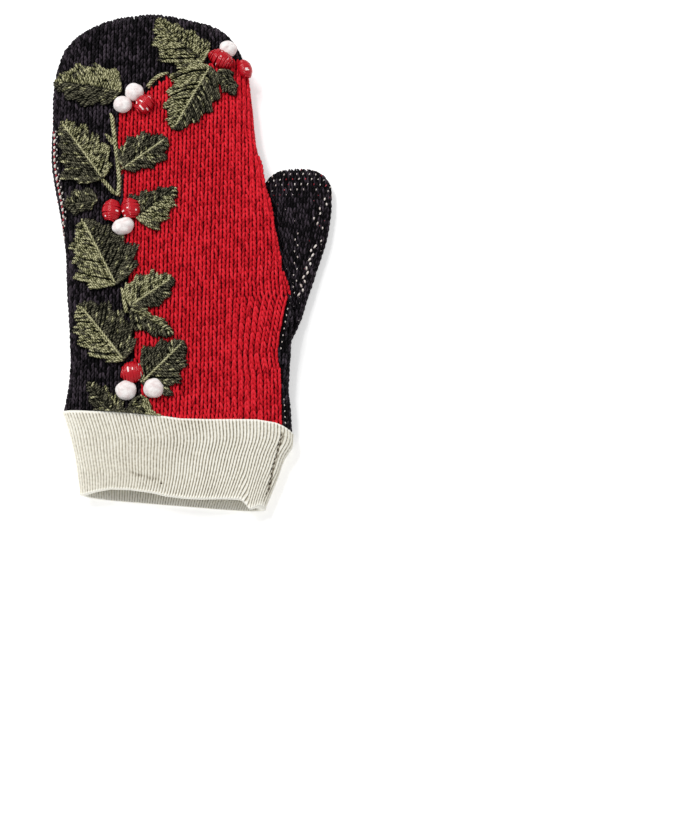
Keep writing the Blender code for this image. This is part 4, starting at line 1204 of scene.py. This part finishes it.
# Distance of the rows of stitches, thickness of the yarn, length of a stitch, and how far
# all of it stands off the knit
ROW = 0.98 * MM
STRAND = 0.95 * MM
STITCH = 2.8 * MM
LEAF_LIFT = 0.3 * MM

back_places = np.linspace(0.0, 14.8, 600)
back_turns = np.linspace(0.01, np.pi - 0.01, 300)
back_grid = hand_surface(*np.broadcast_arrays(back_places[:, None], back_turns))
index = np.arange(back_grid.shape[0] * back_grid.shape[1]).reshape(back_grid.shape[:2])
back_faces = np.stack([index[:-1, :-1], index[1:, :-1], index[1:, 1:], index[:-1, 1:]], -1).reshape(-1, 4)
back_tree = BVHTree.FromPolygons([Vector(point) for point in back_grid.reshape(-1, 3)], back_faces.tolist())


def on_back(plan):
    """Points on the back under places in plan, and the directions straight out."""
    return on_top_of(back_tree, plan)


def leaf_edge(reaches):
    """One side of a leaf: shares of its length and half widths in mm, round its lobes."""
    step = 0.8 / len(reaches)
    edge = [(0.0, 0.0)]
    ends = [(step * (number + 0.8), reach) for number, reach in enumerate(reaches)]
    for near, far in zip(ends, ends[1:] + [(1.0, 0.0)]):
        share, reach = near
        notch = [a + (b - a) * 0.3 for a, b in zip(near, far)]
        edge += [(share - 0.28 * step, reach * 0.88), (share - 0.06 * step, reach),
                 (share + 0.08 * step, reach * 0.97), (notch[0], notch[1] * 0.8)]
    return np.array(edge + [(0.92, 0.5 * reaches[-1]), (0.985, 0.24 * reaches[-1]), (1.0, 0.0)])


def leaf_axes(leaf, side):
    """A leaf's foot, its length, and its directions ahead and out to a side."""
    foot, tip = np.array(leaf.foot) * MM, np.array(leaf.tip) * MM
    length = np.linalg.norm(tip - foot)
    ahead = (tip - foot) / length
    return foot, length, ahead, np.array([-ahead[1], ahead[0]]) * side


def fan_lines(leaf, side, steps, slope):
    """Starts on the midrib and ends on the edge of lines that fan out over one side of a leaf."""
    length = leaf_axes(leaf, side)[1]
    edge = leaf_edge(leaf.left_lobes if side > 0 else leaf.right_lobes) * (length, MM)
    run = lengths(edge)
    ends = np.stack([np.interp(steps * run[-1], run, edge[:, 0]), np.interp(steps * run[-1], run, edge[:, 1])], -1)
    starts = np.stack([np.clip(ends[:, 0] - ends[:, 1] * slope, 0.01 * length, None), 0.0 * ends[:, 1]], -1)
    return starts, ends, run[-1]


def leaf_plan(leaf, side, starts, ends, share):
    """Places in plan at shares of the way along lines of the fan, which bow a little."""
    foot, _, ahead, out = leaf_axes(leaf, side)
    spots = starts[:, None] + (ends - starts)[:, None] * share[..., None]
    spots[..., 0] -= np.sin(np.pi * share) * ends[:, 1:] * 0.08
    return foot + spots[..., :1] * ahead + spots[..., 1:] * out


def dome(share):
    """Height of the stitches over the back, low at the midrib and the edge."""
    return np.interp(share, [0.0, 0.35, 0.75, 1.0], [0.9, 1.9, 1.6, 0.8]) * MM


def leaf_rows(leaf, side, dice):
    """Stitches on one side of a leaf, in rows from the midrib out to the edge: paths in plan,
    shares of the way out, and 1 for those in a row that lies lower."""
    count = int(fan_lines(leaf, side, np.zeros(1), 1.0)[2] / ROW)
    steps = np.linspace(0.03, 0.985, count) + dice.normal(0.0, 0.12 / count, count)
    starts, ends, _ = fan_lines(leaf, side, steps, dice.normal(0.95, 0.06, count))
    ends[:, 1] += dice.normal(0.0, 0.3 * MM, count)
    numbers = np.maximum(np.round(np.linalg.norm(ends - starts, axis=-1) / STITCH), 1.0).astype(int)
    row = np.repeat(np.arange(count), numbers)
    place = np.concatenate([np.arange(number) / number for number in numbers])
    long = 1.0 / numbers[row]
    place = place + dice.uniform(-0.35, 0.35, len(row)) * long
    share = np.clip(place[:, None] + np.linspace(-0.1, 1.15, 5) * long[:, None], 0.0, 1.02)
    plan = leaf_plan(leaf, side, starts[row], ends[row], share)
    ahead = unit(plan[:, -1:] - plan[:, :1])
    slant = dice.normal(0.25, 0.15, len(row)) * dice.choice([-1.0, 1.0], len(row)) * MM
    across = np.stack([-ahead[..., 1], ahead[..., 0]], -1)
    return plan + across * (slant[:, None] * np.linspace(-1.0, 1.0, 5))[..., None], share, row % 2


def rib_stitches(leaf):
    """Overlapping stem stitches up the midrib, in plan."""
    foot, length, ahead, out = leaf_axes(leaf, 1)
    at = np.arange(0.4 * MM, 0.9 * length, 1.7 * MM)[:, None] + np.linspace(0.0, 3.3, 5) * MM
    return foot + at[..., None] * ahead + (np.linspace(-0.4, 0.4, 5) * MM)[:, None] * out


light_thread = wool("light moss crewel wool, stitched rows", "1a1a0c", "7c7b50", "d8d4ac", 0.05, 1.3, 0.28)
dark_thread = wool("dark moss crewel wool, stitched rows", "0a0b05", "37352a", "7c7963", 0.05, 1.3, 0.28)
# The pad is coloured near black so that the gaps between the stitches show painted shade
pad_painted_shade = wool("dark moss wool pad under the stitches", "060703", "13140c", "2a2b1c", 0.0)
# Each stitch bows down into the pad at its ends; painted shade darkens its colour there and a painted highlight
# lightens its middle
LEAF_BOW = np.array([-0.55, 0.0, 0.15, 0.0, -0.55]) * MM
LEAF_PAINTED_SHADE = np.array([-1.3, 0.0, 0.3, 0.0, -1.3])


def leaf_stitches(leaf, dice):
    """The rows of stitches on both sides of a leaf and those on its midrib, as one piece."""
    plans, heights, tones_and_shades, dark = [], [], [], []
    for side, tone in ((1, leaf.tones[0]), (-1, leaf.tones[1])):
        plan, share, low = leaf_rows(leaf, side, dice)
        plans.append(plan)
        # Every second row lies lower, and painted shade darkens its colour
        heights.append(dome(share) - 0.2 * MM * low[:, None] + dice.normal(0.0, 0.1 * MM, (len(plan), 1)))
        tones_and_shades.append(dice.random(len(plan)) - 0.4 * low)
        dark.append((dice.random(len(plan)) < 0.12) != (tone == "dark"))
    plan = rib_stitches(leaf)
    pale_rib = leaf.tones[2] == "light"
    plans.append(plan)
    # A dark midrib lies low as a groove, and painted shade darkens its stitches well below the dark thread; a pale one
    # lies high and is a little lighter
    heights.append(np.full(plan.shape[:2], (1.5 if pale_rib else 0.7) * MM))
    tones_and_shades.append(dice.random(len(plan)) + (0.3 if pale_rib else -1.2))
    dark.append(np.full(len(plan), not pale_rib))
    points, outs = on_back(np.concatenate(plans))
    points = points + outs * (np.concatenate(heights) + LEAF_LIFT + LEAF_BOW)[..., None]
    tone_and_shade = np.concatenate(tones_and_shades)[:, None] + LEAF_PAINTED_SHADE
    wide = np.array([0.7, 1.0, 1.05, 1.0, 0.7]) * STRAND
    sides = 5
    piece = yarn_piece(leaf.name + "_stitches", points, outs, wide, wide * 0.85, sides, tone_and_shade)
    piece.data.materials.append(light_thread)
    piece.data.materials.append(dark_thread)
    dark = np.concatenate(dark)
    slots = np.concatenate([np.repeat(dark, 4 * sides), dark, dark])
    piece.data.polygons.foreach_set("material_index", slots.astype(np.int32))
    return piece


def leaf_pad(leaf, side):
    """The low pad under the stitches of one side of a leaf."""
    lines, spots = 40, 8
    starts, ends, _ = fan_lines(leaf, side, np.linspace(0.01, 0.99, lines), 0.95)
    share = np.broadcast_to(np.linspace(0.0, 0.96, spots)[::side], (lines, spots))
    points, outs = on_back(leaf_plan(leaf, side, starts, ends, share))
    top = points + outs * (dome(share) - 0.5 * MM)[..., None]
    pad = two_skins(leaf.name + ("_left_pad" if side > 0 else "_right_pad"), top, points + outs * 0.05 * MM)
    pad.data.materials.append(pad_painted_shade)
    return pad


for order, leaf in enumerate(LEAVES):
    pieces = [leaf_stitches(leaf, np.random.default_rng(100 + order)), leaf_pad(leaf, 1), leaf_pad(leaf, -1)]
    stand_for(pieces, leaf.name)


# Berries: red ones wound from shiny silk thread, white ones of felted wool, each a small
# ball pressed flat where it is sewn down.
# Middle in plan, half its length and width in mm, and the turn of its length in degrees
Berry = namedtuple("Berry", "name x y half_long half_wide turn")
BERRIES = [
    Berry("berry_red_top", 29.0, 99.8, 6.2, 4.4, -35.0),
    Berry("berry_white_top", 32.9, 105.4, 4.6, 4.4, 0.0),
    Berry("berry_red_edge", 39.9, 94.4, 4.8, 3.5, 100.0),
    Berry("berry_white_upper", -15.3, 84.6, 4.8, 4.6, 20.0),
    Berry("berry_white_upper_left", -21.5, 78.2, 4.6, 4.5, 0.0),
    Berry("berry_red_upper", -10.7, 77.4, 5.4, 4.2, 45.0),
    Berry("berry_red_middle_left", -30.4, 21.7, 5.6, 4.4, 80.0),
    Berry("berry_red_middle", -21.0, 21.7, 5.3, 4.5, 95.0),
    Berry("berry_white_middle", -25.1, 12.8, 5.5, 4.3, 10.0),
    Berry("berry_red_lower", -25.6, -61.9, 5.2, 5.0, 0.0),
    Berry("berry_white_lower_left", -29.0, -70.6, 5.1, 4.8, 0.0),
    Berry("berry_white_lower", -15.8, -70.9, 4.9, 4.8, 0.0),
]
BERRY_HEIGHT = 3.4 * MM


def berry_frame(berry):
    """Centre of a berry's foot, and its long, wide and outward directions."""
    points, outs = on_back(np.array([[berry.x, berry.y]]) * MM)
    turn = np.radians(berry.turn)
    long = np.array([np.cos(turn), np.sin(turn), 0.0])
    out = outs[0]
    long = unit(long - out * (long @ out))
    return points[0], long, np.cross(out, long), out


def felt_berry(berry, order):
    """A ball of felt, a little lumpy."""
    foot, long, wide, out = berry_frame(berry)
    dice = np.random.default_rng(300 + order)
    rings, sides = 24, 40
    polar = np.linspace(0.04, np.pi - 0.04, rings)[:, None]
    around = np.linspace(0.0, 2 * np.pi, sides, endpoint=False)[None, :]
    lumps = 1.0 + sum(0.018 * np.sin(around * k + dice.uniform(0, 6.28)) * np.sin(polar * j + dice.uniform(0, 6.28))
                      for k in (2, 3, 5) for j in (2, 3, 5))
    flat = np.sin(polar) ** 0.8 * lumps
    height = np.cos(polar) * np.where(polar < np.pi / 2, BERRY_HEIGHT, 0.3 * BERRY_HEIGHT) * lumps
    points = (foot + out * (0.3 * BERRY_HEIGHT + 0.55 * MM)
              + long * (berry.half_long * MM * flat * np.cos(around))[..., None]
              + wide * (berry.half_wide * MM * flat * np.sin(around))[..., None]
              + out * (height + 0.0 * around)[..., None])
    index = np.arange(rings * sides).reshape(rings, sides)
    after = np.roll(index, -1, 1)
    quads = np.stack([index[:-1], index[1:], after[1:], after[:-1]], -1)
    corners = np.concatenate([quads.reshape(-1), index[0], index[-1][::-1]])
    return mesh_piece(berry.name + "_felt", points.reshape(-1, 3), corners, [4] * (quads.size // 4) + [sides, sides])


def thread_berry(berry, order):
    """Turns of thread side by side over a ball, from one end of its length to the other."""
    foot, long, wide, out = berry_frame(berry)
    dice = np.random.default_rng(400 + order)
    count, rings = 15, 17
    slide = np.linspace(-0.93, 0.93, count) + dice.normal(0.0, 0.01, count)
    sweep = np.linspace(-0.45, np.pi + 0.45, rings)
    ring = np.sqrt(1.0 - slide ** 2)[:, None]
    skew = dice.normal(0.0, 0.05, (count, 1)) * np.cos(sweep)
    around = ring * np.cos(sweep)
    up = ring * np.sin(sweep)
    up = np.where(up > 0.0, up * BERRY_HEIGHT, up * 0.5 * BERRY_HEIGHT)
    centre = foot + out * (0.3 * BERRY_HEIGHT + 0.4 * MM)
    paths = (centre + long * (berry.half_long * MM * (slide[:, None] + skew))[..., None]
             + wide * (berry.half_wide * MM * around)[..., None] + out * up[..., None])
    outs = unit(paths - centre)
    return yarn_piece(berry.name + "_thread", paths, outs, 1.15 * MM, 0.8 * MM, 8, dice.random(count))


# Silk thread: smooth and glossy, with short white dashes of painted highlight along the crown of its
# turns, about 4 mm apart. Its grain is coarser than real silk so that it shows.
silk, tree, shader = new_material("red silk thread, wound")
place = add_node(tree, "ShaderNodeAttribute", {}, attribute_name="yarn")
drawn = add_node(tree, "ShaderNodeVectorMath", {0: place.outputs["Vector"], 1: (0.6, 14.0, 40.0)}, operation="MULTIPLY")
grain = add_node(tree, "ShaderNodeTexNoise", {"Vector": drawn.outputs[0], "Scale": 1.0, "Detail": 3.0})
ramp = add_node(tree, "ShaderNodeValToRGB", {"Fac": grain.outputs["Fac"]}, [(0.0, "86040f"), (1.0, "e4142a")])
parts = add_node(tree, "ShaderNodeSeparateXYZ", {"Vector": place.outputs["Vector"]})
crown = add_node(tree, "ShaderNodeMath", {0: parts.outputs["Y"], 1: 0.5, 2: 0.13}, operation="COMPARE")
spread = add_node(tree, "ShaderNodeVectorMath", {0: place.outputs["Vector"], 1: (0.24, 0.0, 60.0)},
                  operation="MULTIPLY")
painted_glint_dashes = add_node(tree, "ShaderNodeTexNoise", {"Vector": spread.outputs[0], "Scale": 1.0, "Detail": 1.0})
painted_glint_dashes = add_node(tree, "ShaderNodeMath", {0: painted_glint_dashes.outputs["Fac"], 1: 0.645}, operation="GREATER_THAN")
painted_glint_dashes = add_node(tree, "ShaderNodeMath", {0: painted_glint_dashes.outputs[0], 1: crown.outputs[0]}, operation="MULTIPLY")
painted_glints = add_node(tree, "ShaderNodeMixRGB", {"Fac": painted_glint_dashes.outputs[0], "Color1": ramp.outputs["Color"],
                                            "Color2": colour("fff1ef")})
relief = add_node(tree, "ShaderNodeBump", {"Height": grain.outputs["Fac"], "Strength": 0.25, "Distance": 0.1 * MM})
fill_in(tree, shader, {"Base Color": painted_glints.outputs["Color"], "Normal": relief.outputs["Normal"],
                       "Roughness": 0.2, "Specular IOR Level": 0.4})

# Wool felt, wet felted: matt, with an irregular nap of 0.7 mm, coarser than the real one so
# that it shows, and faint pink clouds
felt, tree, shader = new_material("white wool felt")
spot = add_node(tree, "ShaderNodeTexCoord", {})
nap = add_node(tree, "ShaderNodeTexNoise", {"Vector": spot.outputs["Object"], "Scale": marks_every(0.667),
                                            "Detail": 6.0, "Roughness": 0.7})
tone = add_node(tree, "ShaderNodeTexNoise", {"Vector": spot.outputs["Object"], "Scale": marks_every(2.38),
                                             "Detail": 3.0})
ramp = add_node(tree, "ShaderNodeValToRGB", {"Fac": tone.outputs["Fac"]}, [(0.3, "e9d6d4"), (0.6, "fbf6f4")])
relief = add_node(tree, "ShaderNodeBump", {"Height": nap.outputs["Fac"], "Strength": 0.6, "Distance": 0.3 * MM})
fill_in(tree, shader, {"Base Color": ramp.outputs["Color"], "Normal": relief.outputs["Normal"], "Roughness": 0.95,
                       "Sheen Weight": 0.3, "Specular IOR Level": 0.2})

for order, berry in enumerate(BERRIES):
    red = "_red_" in berry.name
    piece = thread_berry(berry, order) if red else felt_berry(berry, order)
    piece.data.materials.append(silk if red else felt)
    stand_for([piece], berry.name)


# Vine stems: the light crewel wool again, in slanted stem stitches that overlap.
VINES = {
    "vine_top": ((2.4, 93.4), (-2.0, 92.9), (-5.6, 90.4), (-8.6, 87.0)),
    "vine_upper": ((-27.4, 74.6), (-26.9, 65.0), (-26.6, 58.5), (-26.2, 51.4), (-25.8, 44.3), (-25.8, 36.0),
                   (-26.8, 29.4)),
    "vine_upper_left": ((-35.0, 40.2), (-32.4, 36.8), (-29.8, 32.8), (-27.8, 29.8)),
    "vine_upper_twig": ((-30.6, 63.8), (-29.4, 61.0), (-27.1, 57.2)),
    "vine_upper_foot": ((-22.6, 43.3), (-24.2, 43.3), (-25.9, 42.9)),
    "vine_lower": ((-27.4, -18.6), (-27.2, -22.8), (-26.8, -27.5), (-26.4, -31.6)),
}
STEM_STITCH = 4.2 * MM
STEM_STRAND = 1.35 * MM
# Side stems that belong to the solid of a longer one
SIDE_STEMS = {"vine_upper_twig": "vine_upper", "vine_upper_foot": "vine_upper"}


def build_vine(name, corners, seed):
    """A stem of slanted stitches along a smooth line through corners in plan."""
    dice = np.random.default_rng(seed)
    fine = along(corners, np.linspace(0.0, len(corners) - 1.0, 200)) * MM
    run = lengths(fine)
    starts = np.arange(0.0, run[-1] - STEM_STITCH * 0.4, STEM_STITCH * 0.45)
    share = np.linspace(0.0, 1.0, 7)
    reach = np.clip(starts[:, None] + share * STEM_STITCH, 0.0, run[-1])
    plan = np.stack([np.interp(reach, run, fine[:, 0]), np.interp(reach, run, fine[:, 1])], -1)
    ahead = unit(np.gradient(plan, axis=1))
    side = np.stack([-ahead[..., 1], ahead[..., 0]], -1)
    plan = plan + side * ((share - 0.5) * 1.6 * MM)[None, :, None]
    points, outs = on_back(plan)
    height = (0.55 + 1.0 * np.sin(np.pi * share)) * MM
    paths = points + outs * height[None, :, None]
    swell = np.array([0.6, 0.95, 1.0, 1.0, 1.0, 0.95, 0.6]) * STEM_STRAND
    piece = yarn_piece(name + "_stitches", paths, outs, swell, swell, 6, dice.random(len(paths)))
    piece.data.materials.append(light_thread)
    stand_for([piece], SIDE_STEMS.get(name, name))


for number, (name, corners) in enumerate(VINES.items()):
    build_vine(name, corners, 500 + number)
